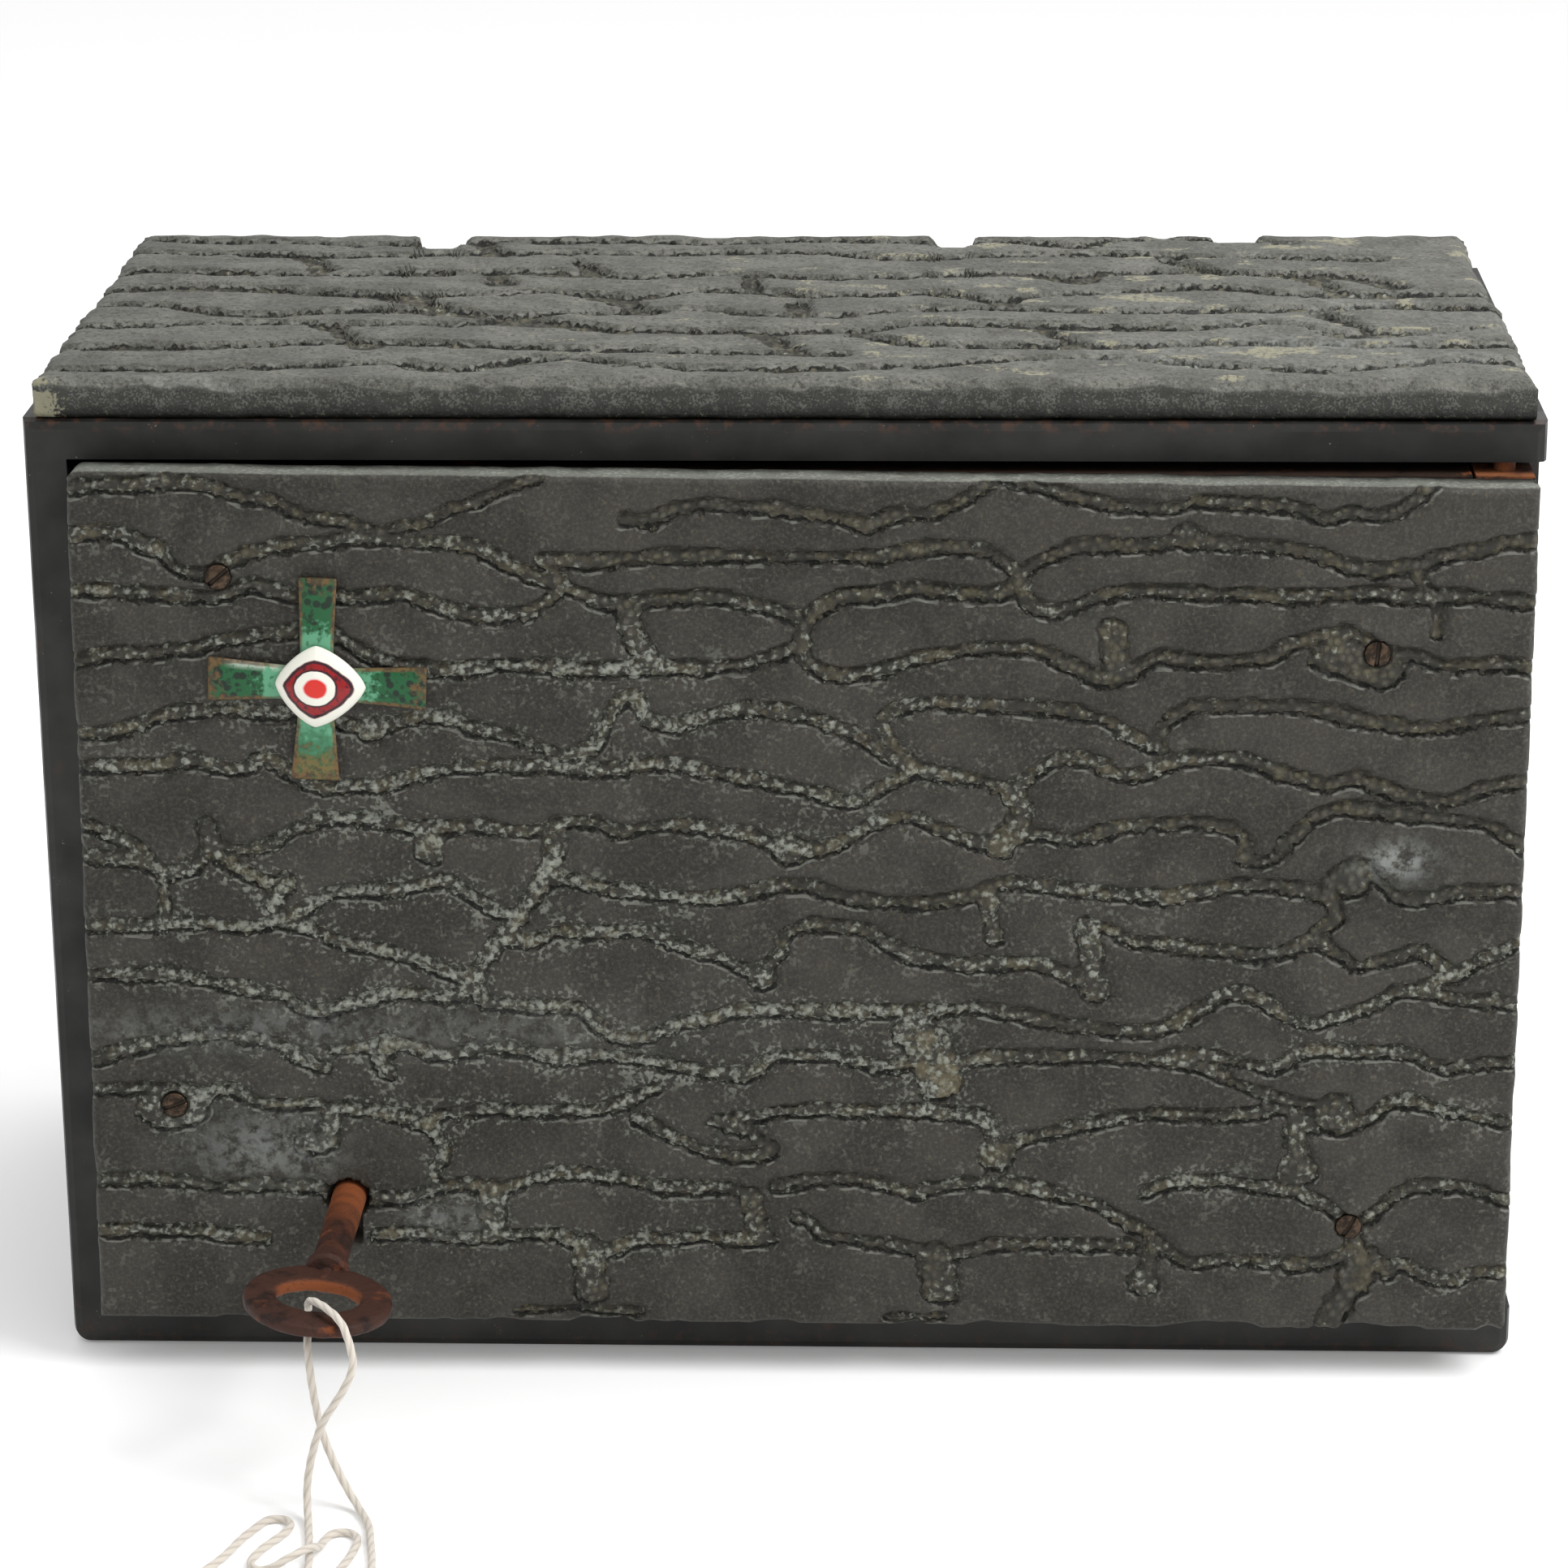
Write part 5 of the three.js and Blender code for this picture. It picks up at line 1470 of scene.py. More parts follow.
# Courses of the door slab: a width, then x and z of each knot in turn, as the reference shows them
DOOR_COURSES: Courses = [
    (5.4, -202, 263.5, -180, 265, -160, 265, -149, 262, -140, 261.5, -131, 257, -121, 255, -110, 251.5),
    (4.6, -110, 251.5, -98, 254.5, -88, 258.5, -78, 263, -66, 267),
    (5.4, -202, 250, -184, 251.5, -176, 248.5, -171, 246, -166, 241, -157, 239.5),
    (5.4, -157, 240.5, -149, 244.5, -139, 247.8, -125, 249, -109, 250, -95, 248.7, -84, 248, -76, 244,
     -69, 240, -61, 236),
    (5.4, -60, 237, -65, 243.5),
    (5.4, -65, 243.5, -50, 244, -40, 245, -25, 245.5, 0, 245, 20, 244.5, 32, 246, 44, 248.3, 55, 247.3,
     62, 243.5, 66, 240),
    (5.4, 66, 240, 71, 244, 78, 247, 86, 248.5, 100, 249, 112, 250.5, 124, 248.7, 138, 248, 148, 245.7,
     156, 242.8, 165, 241.7, 174, 243.3, 182, 246.3, 194, 248.7, 211, 251),
    (5.0, 60, 268, 75, 263.5, 90, 260.5, 104, 258.5, 115, 261, 128, 260.3, 140, 259.5, 149, 256.7,
     156, 258.5, 163, 256.5, 170, 259.5, 178, 266.5),
    (5.4, -43, 255.5, -35, 255.5, -28, 258.5, -17, 259.5, -4, 259, 8, 257.7, 17, 255.7, 24, 254, 31, 257,
     41, 258, 49, 260.7, 58, 267),
    (5.4, -202, 235, -180, 234.5, -165, 233.5, -155, 233.5, -147, 236.5, -139, 235, -130, 233, -118, 233.5,
     -104, 234, -95, 231, -86, 228.5, -75, 228.5, -66, 230.5, -60, 235.5),
    (5.4, -60, 236.5, -50, 232, -42, 231.8, -34, 233, -24, 233.8, -12, 232.5, -1, 229.7, 7, 226),
    (8.0, -42, 231, -41, 224, -36, 215),
    (5.4, 7, 225, 10, 229.5, 16, 233.5, 26, 234.5, 38, 235.7, 50, 235, 60, 235, 66, 239),
    (5.4, 66, 240, 68, 233, 74, 229.5, 82, 232, 90, 235, 102, 235.8, 120, 234.8, 136, 234.3, 152, 235,
     164, 235.2, 173, 234, 186, 234.5, 198, 233.5, 211, 232.5),
    (4.0, 173, 242, 178, 235),
    (4.0, 180, 233, 180, 224),
    (5.4, -202, 213, -188, 216, -176, 217, -165, 218, -155, 220.5, -144, 222.3, -128, 223, -119, 219.5,
     -112, 215.5, -98, 212.3, -85, 212.7, -70, 213.5, -50, 212.8, -30, 212.5, -14, 213.7, -3, 216.3,
     6, 220),
    (6.0, 7, 226, 5, 219),
    (5.4, 5, 219, 9, 213.7, 18, 211.3, 28, 212.8, 38, 216.5, 50, 218.3, 62, 219.4, 72, 218.2, 80, 214.5,
     88, 210.5, 95, 211.5, 103, 216.5, 113, 216.2, 125, 215.5, 134, 217, 141, 221, 149, 223.2, 158, 223.3,
     164, 219),
    (9.0, 91, 224, 92, 218, 93, 212),
    (7.0, 148, 216, 157, 213.5, 166, 211, 168, 217),
    (5.4, 166, 218, 175, 217.3, 184, 214.5, 196, 214.7, 211, 214),
    (5.4, -202, 194, -188, 193.8, -178, 197, -166, 199.8, -154, 200.8, -142, 200.3, -130, 199, -121, 196,
     -113, 195, -105, 197, -95, 198.8, -86, 195.7, -77, 194, -68, 190.5, -60, 187.5),
    (5.4, -60, 187.5, -52, 190.5, -49, 197, -44, 204, -39.5, 204, -36.5, 197.5, -30, 196, -21, 199.3,
     -11, 201, 0, 200.7, 10, 198.5, 20, 194, 30, 188, 37, 184),
    (5.4, 37, 184, 31, 191.5, 28, 198, 34, 202.3, 48, 203.3, 62, 202.7, 78, 201.5, 88, 199, 97, 194.5,
     105, 190),
    (5.4, 105, 190, 106, 197.5, 114, 202.3, 126, 203.2, 140, 202.8, 152, 201, 163, 198.5, 174, 196.8,
     183, 196.5, 193, 199.3, 211, 200.7),
    (5.4, 64, 178, 71, 184, 77, 187.3, 85, 187, 92, 183.3, 99, 182.5, 106, 185, 116, 187.3, 127, 187,
     137, 184, 146, 180.5, 152, 180.2, 158, 182, 166, 179.5, 176, 176.2, 186, 175.8, 195, 179.5,
     211, 182.3),
    (5.4, 128, 158.5, 134, 157, 138, 159, 142, 164.5, 147, 170, 155, 173.5, 164, 173, 175, 170.8, 188, 170,
     197, 168, 203, 163.5, 211, 158),
    (5.4, 62, 163, 70, 165, 78, 163.8, 86, 164.5, 94, 167, 104, 168.5, 115, 169, 124, 168, 129, 163.5,
     130, 158.5),
    (8.0, 64, 178, 67, 172, 64, 166, 61, 161),
    (5.4, 37, 184, 46, 182, 55, 181, 64, 178),
    (5.4, -202, 184.5, -186, 184, -176, 184.3, -165, 185.8, -156, 183.7, -150, 183.7, -144, 187,
     -138, 183.5, -130, 179.3, -120, 177.7, -112, 178.7, -103, 181.3, -92, 184, -80, 184.5, -68, 184.5,
     -58, 183.5, -48, 183, -38, 185, -28, 184.5, -15, 182, -5, 180.3, 4, 178, 12, 176.3, 19, 174.7,
     28, 178.3, 37, 184),
    (5.4, -202, 168, -190, 165, -182, 160.5, -178, 155.5),
    (5.4, -202, 157.5, -185, 156.5, -176, 153.5, -172, 151.5, -164, 155, -160, 160, -150, 159.7,
     -143, 161.7, -136, 165.3, -129, 168.3, -119, 169, -111, 168, -103, 166, -94, 166.5, -82, 166.2,
     -72, 165.3, -62, 167.5, -53, 168.5, -46, 165.2, -38, 166.5, -31, 167.7, -20, 166.3, -10, 165, -3, 162,
     3, 161, 12, 160.7, 20, 165, 28, 168.7, 37, 169.7, 45, 166.7, 52, 163.3, 61, 162.5),
    (7.6, -160, 160, -161, 166),
    (9.0, -99, 165, -99, 159),
    (5.0, -174, 152, -174, 144, -174, 138),
    (5.4, -160, 159, -154, 154.5, -147, 150.5, -141, 149, -143, 143, -142, 138),
    (8.0, -63, 167, -64, 159, -66, 152),
    (5.4, -66, 152, -57, 150.5, -47, 148.5, -37, 146.5, -25, 145.5, -13, 146.5, -3, 149.3, 6, 149.7,
     14, 147.7, 26, 145.3, 38, 144.5, 49, 145.8, 59, 149.7, 70, 150.3, 82, 148.3, 95, 147.3, 108, 146.8,
     120, 149.2, 133, 150.2, 146, 149.3, 152, 147),
    (6.5, 58, 149, 58, 141, 60, 134.5),
    (5.4, 152, 147, 154, 153, 161, 155.5, 167, 151.5, 172, 147.3, 181, 147, 193, 149, 211, 148.5),
    (5.0, 153, 146, 155, 141, 150, 137, 147, 134),
    (5.4, -202, 135.5, -186, 136.8, -174, 137.3, -162, 137.3, -152, 136.5, -142, 138, -134, 136,
     -126, 132.7, -118, 131, -110, 129, -102, 126.3, -95, 123.3, -87, 120),
    (5.4, -141, 138.5, -133, 142.7, -124, 146.8, -112, 147.3, -101, 149, -94, 149.8, -87, 145.5, -80, 140.5,
     -73, 139.5),
    (6.0, -66, 152, -70, 146, -74, 139.5, -79, 133.5, -84, 127, -87, 120),
    (5.4, -78, 133, -70, 132.7, -62, 135, -50, 135, -40, 135.7, -31, 132.5, -22, 129.7, -13, 125.7,
     -6, 123.3),
    (5.4, -6, 123.5, -1, 129, 2, 136, 9, 138, 16, 137.7, 23, 136.7, 29, 133, 36, 129, 44, 127.5, 52, 126.5,
     62, 126.8, 70, 127, 78, 124, 86, 119.5),
    (8.0, 86, 119.5, 87, 129, 85.5, 138),
    (5.4, 85, 139.5, 92, 137, 99, 133.5, 108, 132.5, 118, 131, 130, 129.5, 140, 131, 148, 134, 156, 130,
     162, 126.5, 170, 129, 177, 131, 183, 128.5, 188, 124, 194, 127, 200, 131, 211, 134.5),
    (5.4, -202, 121.5, -175, 122.5, -165, 120.5, -155, 118, -143, 116, -138, 112.5, -133, 110.5,
     -122, 113.5, -112, 116.5, -104, 116.5, -96, 115, -90, 117, -87, 119.5),
    (5.4, -87, 119, -85, 115, -80, 113.5, -60, 113.5, -56, 111, -50, 105.5, -44, 102.5, -38, 104,
     -30, 107.5, -20, 109.5, -10, 112, 30, 112, 55, 113, 70, 110.5, 80, 108.5, 100, 106.5, 110, 109,
     117, 113, 124, 117.5, 130, 118.5, 136, 116, 142, 110.5, 150, 109, 158, 112, 166, 115, 174, 119,
     190, 117, 211, 115),
    (4.5, 188, 124, 178, 120),
    (14.0, 37, 106, 42, 100, 44, 91),
    (5.4, -202, 95, -185, 99.5, -172, 102.5, -160, 104.5, -148, 102, -140, 99, -134, 95, -130, 94),
    (4.8, -128, 99.5, -120, 100.5, -112, 99),
    (4.8, -116, 97, -112, 91.5),
    (5.4, -113, 102, -104, 100.5, -97, 98.5, -80, 100, -66, 98, -50, 98.5, -40, 97, -26, 94.5, -14, 92.5,
     -8, 94, -3, 98, 5, 98.5, 14, 98, 22, 96.5, 30, 95, 36, 97),
    (5.4, 48, 96, 56, 98, 84, 99, 107, 98, 118, 96, 126, 92.5, 134, 88.5, 142, 86, 150, 84.5),
    (5.4, 107, 99, 120, 99.5, 138, 96, 144, 99, 152, 101, 176, 100.5, 182, 97.5, 188, 95, 194, 97, 211, 99),
    (5.4, 158, 77, 166, 81, 172, 85.5, 178, 86, 186, 83.5, 196, 81, 211, 78),
    (7.0, 145, 80, 146, 67),
    (15.0, -178, 82, -171, 82),
    (12.5, 153, 217.5, 166, 214),
    (5.4, -202, 87, -180, 87, -172, 82, -165, 85, -158, 87, -150, 83.5, -133, 83),
    (8.0, -129, 80, -131, 72, -137, 70.5),
    (5.4, -128, 81, -118, 81, -110, 79.5, -103, 77, -96, 80, -87, 81, -60, 81, -48, 82.5, -37, 88),
    (5.0, -103, 77, -97, 70, -100, 62, -100, 57),
    (5.4, -42, 79, -30, 72.5, -20, 69, -8, 67.5, -4, 70, -12, 76, -19, 78.5, -8, 79.5, 2, 81.5, 25, 82,
     52, 80.5, 58, 78, 60, 71),
    (5.4, 60, 70, 68, 73.5, 76, 75.5, 86, 78, 96, 80.5, 105, 81.5, 120, 81, 133, 82, 141, 84, 150, 78),
    (5.4, -202, 59, -175, 59, -160, 57, -148, 57.5, -135, 56.5, -131, 55),
    (5.4, -119, 54, -108, 54, -100, 57, -90, 58, -84, 56),
    (9.0, -84, 56, -84, 44),
    (5.4, -79, 57, -70, 60.5, -58, 62, -46, 60, -34, 57.5, -16, 58, -10, 54),
    (8.0, -10, 54, -7, 44),
    (5.4, -2, 58, 12, 61, 24, 60, 37, 56.5, 44, 59, 62, 60, 70, 58.5, 80, 55.5, 90, 53, 98, 48),
    (5.4, 103, 58, 112, 61, 124, 61, 133, 59.5, 144, 58, 152, 55, 158, 51, 161, 47.5),
    (5.4, 166, 50, 171, 54, 178, 59, 188, 60, 197, 59, 211, 54),
    (5.4, -202, 43, -170, 43, -150, 41.5),
    (5.4, -117, 42, -105, 42.5, -95, 41.5, -84, 43, -66, 43, -60, 40),
    (11.0, -56, 38, -56, 26),
    (5.4, -50, 38, -40, 41.5, -10, 42, -4, 42),
    (5.4, 4, 49, 8, 47, 12, 43.5, 22, 42, 34, 40, 42, 38),
    (12.0, 43, 36, 45, 27),
    (5.4, 50, 38, 58, 40.5, 70, 41, 100, 41),
    (6.0, 106, 42, 103, 30),
    (5.4, 98, 48, 104, 44, 110, 39, 116, 35.5, 124, 36.5, 134, 37, 144, 35.5, 152, 35.5, 160, 38, 163, 42),
    (6.0, 163, 44, 165, 38),
    (12.0, 164.5, 35, 163, 31.5),
    (7.5, 162.5, 31, 160, 26),
    (10.0, 158.5, 23, 156, 16),
    (5.4, 168, 40, 172, 33, 176, 35.5, 182, 32.5, 190, 31, 198, 33, 211, 34.5),
    (3.4, -78, 19, -60, 20, -42, 19),
    (3.4, 30, 18, 45, 18),
]
# Round pits where courses meet: x, z and radius
DOOR_PITS = [
    (-114, 194.5, 4.5), (2, 160.5, 5.5), (-140, 149.5, 4.0), (159, 152, 6.0), (-6, 122.5, 5.0),
    (88, 119, 5.0), (156, 82, 7.0), (146, 65, 6.0), (60, 69, 6.0), (103, 30, 5.0), (111, 251.5, 4.6),
]
# Courses of the top slab: a width, then x and y of each knot in turn
TOP_COURSES: Courses = [
    (4.6, -212, 92, -190, 85, -155, 83, -140, 79, -90, 86, -22, 83, 0, 88, 40, 84, 60, 88, 85, 78, 100, 90,
     135, 88, 150, 82),
    (4.6, -212, 69, -150, 65, -80, 67, 0, 68, 30, 60, 80, 66, 175, 61),
    (5.0, -212, 36, -195, 42, -150, 36, -120, 39, -85, 42, -45, 35, -25, 39, 10, 31, 65, 40, 83, 28, 95, 41,
     160, 37, 178, 22),
    (5.0, -212, 12, -175, 20, -125, 10, -70, 13, -50, 3, -30, 15, 15, 9, 40, 14, 60, 5, 85, 12, 125, 19,
     155, 10, 212, 12),
    (5.0, -212, -6, -185, -5, -160, -17, -125, -10, -85, -18, -30, -10, 5, -19, 50, -8, 105, -12, 170, -6,
     212, -9),
    (5.0, -212, -32, -140, -28, -105, -30, -80, -26, -40, -37, 15, -37, 40, -28, 100, -33, 140, -27,
     165, -42, 212, -28),
    (5.0, -212, -60, -155, -57, -125, -52, -75, -58, -20, -64, 15, -66),
    (5.0, 20, -42, 45, -56, 95, -55, 130, -53, 212, -54),
    (5.0, -212, -84, -155, -84, -115, -77, -90, -84, -60, -70, -40, -81, 10, -84, 45, -78, 85, -70,
     145, -84, 185, -74, 212, -78),
    (5.0, -115, 5, -95, -13),
    (5.0, -125, 10, -85, -18, -45, -38),
    (5.0, -55, 10, -43, -12),
    (5.0, -135, -30, -118, -58),
    (4.6, 1, 0, 3, -18),
    (4.6, 43, 18, 62, 0),
    (4.6, -98, 80, -92, 65),
    (4.6, -150, 60, -143, 42),
    (4.6, -70, 60, -60, 42),
    (4.6, -92, 40, -87, 22),
    (4.6, -15, 38, -12, 20),
    (4.6, 112, 60, 126, 40),
    (4.6, 150, 36, 163, 13),
    (4.6, 150, -8, 168, -38),
    (4.6, 70, -30, 84, -55),
    (4.6, -10, -38, 4, -62),
]


# Fittings on the door


@dataclass
class Key:
    """The rusted key: an oval ring, a collar, a round shank and a bit."""

    roll: float = 6.5
    bow_y: float = -187.5
    ring_outer: tuple[float, float] = (20.4, 20.5)
    ring_inner: tuple[float, float] = (11.5, 9.3)
    ring_thick: float = 4.2
    ring_square: float = 0.55
    shank_radius: float = 4.9
    collar_radius: float = 6.2
    shank_back: float = -91.2
    bit_half: float = 1.5
    bit_reach: float = 17.0
    bit_front: float = -97.2
    bit_square: float = 0.35
    noise: Lattice = field(default_factory=lambda: Lattice(41))

    def ring(self) -> Skin:
        """The ring: at each angle a rounded rectangle between the inner and the outer ellipse.

        Returns:
            Its skin, about the key's axis.
        """
        around, across = 120, 28
        turn, phase = angles(around)[:, None], angles(across)[None, :]
        share = 0.5 + 0.5 * signed_power(np.cos(phase), self.ring_square)
        reach = [inner + (outer - inner) * share for inner, outer in zip(self.ring_inner, self.ring_outer)]
        pit = 0.22 * self.noise(turn * 18 + 0 * phase, phase * 5 + 0 * turn, 1.6) - 0.1
        x, y = reach[0] * np.cos(turn), self.bow_y + reach[1] * np.sin(turn)
        z = (self.ring_thick / 2 + pit) * signed_power(np.sin(phase), self.ring_square) + 0 * turn
        points = np.stack([x, y + 0 * phase, z], axis=-1).reshape(-1, 3)
        # Orange on the ring's far inner wall: rust bloom, brightened as painted light that falls on that wall
        bloom = 0.75 * smooth(share, 0.16, 0.0) * smooth(np.sin(turn), -0.1, 0.5)
        quads = grid_quads(around, across, ring=True, loop=True)
        return Skin(points, quads, marks={"bloom": bloom.reshape(-1)}).outward()

    def stem(self) -> Skin:
        """The shank and its collar: a profile of radii turned about the key's axis, pitted by noise.

        Returns:
            Their skin, about the key's axis.
        """
        start = self.bow_y + self.ring_inner[1] + 2
        collar = self.bow_y + self.ring_outer[1] - 2
        knots = np.array([
            (0.3, start), (1.8, start), (2.2, start + 1), (2.4, collar - 1.2), (5.2, collar - 0.8),
            (self.collar_radius, collar + 0.2), (self.collar_radius, collar + 2.6), (5.2, collar + 3.4),
            (self.shank_radius, collar + 4.2), (self.shank_radius, self.shank_back - 0.8),
            (4.3, self.shank_back), (0.3, self.shank_back),
        ])
        along = lengths_along(knots)
        at = np.unique(np.concatenate([along, np.linspace(0, along[-1], 110)]))
        dense = np.stack([np.interp(at, along, knots[:, k]) for k in (0, 1)], axis=-1)
        sides = 40
        rings, y = turned(dense, sides), dense[:, 1:]
        pit = self.noise(y + 0 * angles(sides), np.sin(angles(sides)) * 5 + 0 * y, 3.2)
        rings[..., 0::2] *= (1 - 0.02 * (1 + pit))[..., None]
        bloom = np.clip(smooth(y, -150, -122) * 0.75 + 0.25 * pit, 0, 1)
        return tube(rings, {"bloom": bloom})

    def bit(self) -> Skin:
        """The bit below the shank: a block with rounded corners, as rings stacked from top to bottom.

        Returns:
            Its skin, about the key's axis.
        """
        angle = angles(24)
        half_y = (self.shank_back - self.bit_front) / 2
        level = np.array([0.0, -4.0, -10.0, -self.bit_reach + 0.5, -self.bit_reach])[:, None]
        grow = np.array([1.0, 1.0, 1.0, 1.0, 0.8])[:, None]
        x = self.bit_half * grow * signed_power(np.cos(angle), self.bit_square)
        y = half_y * grow * signed_power(np.sin(angle), self.bit_square)
        y = (self.bit_front + self.shank_back) / 2 + y
        return tube(np.stack([x, y, level + 0 * angle], axis=-1))

    def build(self) -> None:
        """Makes the piece and sets it on the door."""
        skin = self.ring().joined(self.stem()).joined(self.bit())
        skin.points = about_y(skin.points, self.roll) + np.array([KEY_AXIS[0], 0, KEY_AXIS[1]])
        finish = Rust(
            "rusted key iron",
            scale=(0.016, 0.008, 0.006), brown=(0.044, 0.018, 0.012),
            bloom=(0.22, 0.062, 0.018), bloom_low=0.58,
        )
        Piece("rusted_key", Body.DOOR, Slot.KEY_IRON, ("key",)).build(skin, finish.material())


@dataclass
class Screws:
    """Four screws with domed, slotted heads; the turns are their slots' directions in degrees."""

    turns: tuple[float, float, float, float] = (40.0, 85.0, 20.0, 60.0)
    head_radius: float = 3.6
    head_back: float = -115.1
    head_rise: float = 2.0
    dome_drop: float = 0.9
    dome_power: float = 2.6
    slot_half: float = 0.5
    slot_soft: float = 0.12
    slot_depth: float = 0.8
    shank_radius: float = 2.1
    thread_depth: float = 0.15
    thread_pitch: float = 1.2
    tip_y: float = -97.2

    def head(self) -> Skin:
        """A head: a square grid carried to a disc, domed, with a slot along its middle, and a short skirt.

        Returns:
            Its skin, about the screw's axis.
        """
        near = self.slot_half / self.head_radius
        half = np.concatenate([np.linspace(0, near * 0.85, 3), np.linspace(near * 1.15, 1, 11)])
        p, q = np.meshgrid(np.linspace(-1, 1, 25), np.concatenate([-half[:0:-1], half]))
        x, z = (self.head_radius * part for part in square_to_disc(p, q))
        dome = self.head_rise - self.dome_drop * (np.hypot(x, z) / self.head_radius) ** self.dome_power
        slot = smooth(np.abs(z), self.slot_half + self.slot_soft, self.slot_half - self.slot_soft)
        slot = self.slot_depth * slot
        ring = border(*x.shape)
        front = np.stack([x, self.head_back - (dome - slot), z], axis=-1).reshape(-1, 3)
        skirt = front[ring] * np.array([1, 0, 1]) + np.array([0, self.head_back, 0])
        count, first = len(ring), x.size
        # Painted shade: dark in the slot and on the skirt round the head, where it meets the slab
        dirt = np.concatenate([smooth(slot, 0.1, 0.5).reshape(-1), np.ones(count)])
        back = list(range(first, first + count))
        quads = np.vstack([grid_quads(*x.shape), wall_quads(ring, first)])
        return Skin(np.vstack([front, skirt]), quads, [back[::-1]], {"dirt": dirt}).outward()

    def shank(self) -> Skin:
        """The shank: a turned profile with shallow threads and a blunt point.

        Returns:
            Its skin, about the screw's axis.
        """
        y = np.linspace(self.head_back - 0.4, self.tip_y - 1.2, 60)
        thread = self.thread_depth * np.cos(y * 2 * math.pi / self.thread_pitch)
        profile = np.stack([self.shank_radius - self.thread_depth + thread, y], axis=-1)
        tip = np.array([[self.shank_radius * 0.7, self.tip_y - 0.4], [0.3, self.tip_y]])
        return tube(turned(np.vstack([profile, tip]), 18))

    def build(self) -> None:
        """Makes the four pieces with one finish."""
        material = TarnishedBronze().material()
        for (place, (x, z)), turn in zip(SCREW_PLACES.items(), self.turns):
            skin = self.head().joined(self.shank())
            skin.points = about_y(skin.points, -turn) + np.array([x, 0, z])
            name = f"slotted_screw_{place}"
            Piece(name, Body.DOOR, Slot.SCREW_BRONZE, (f"screw_{place}",)).build(skin, material)


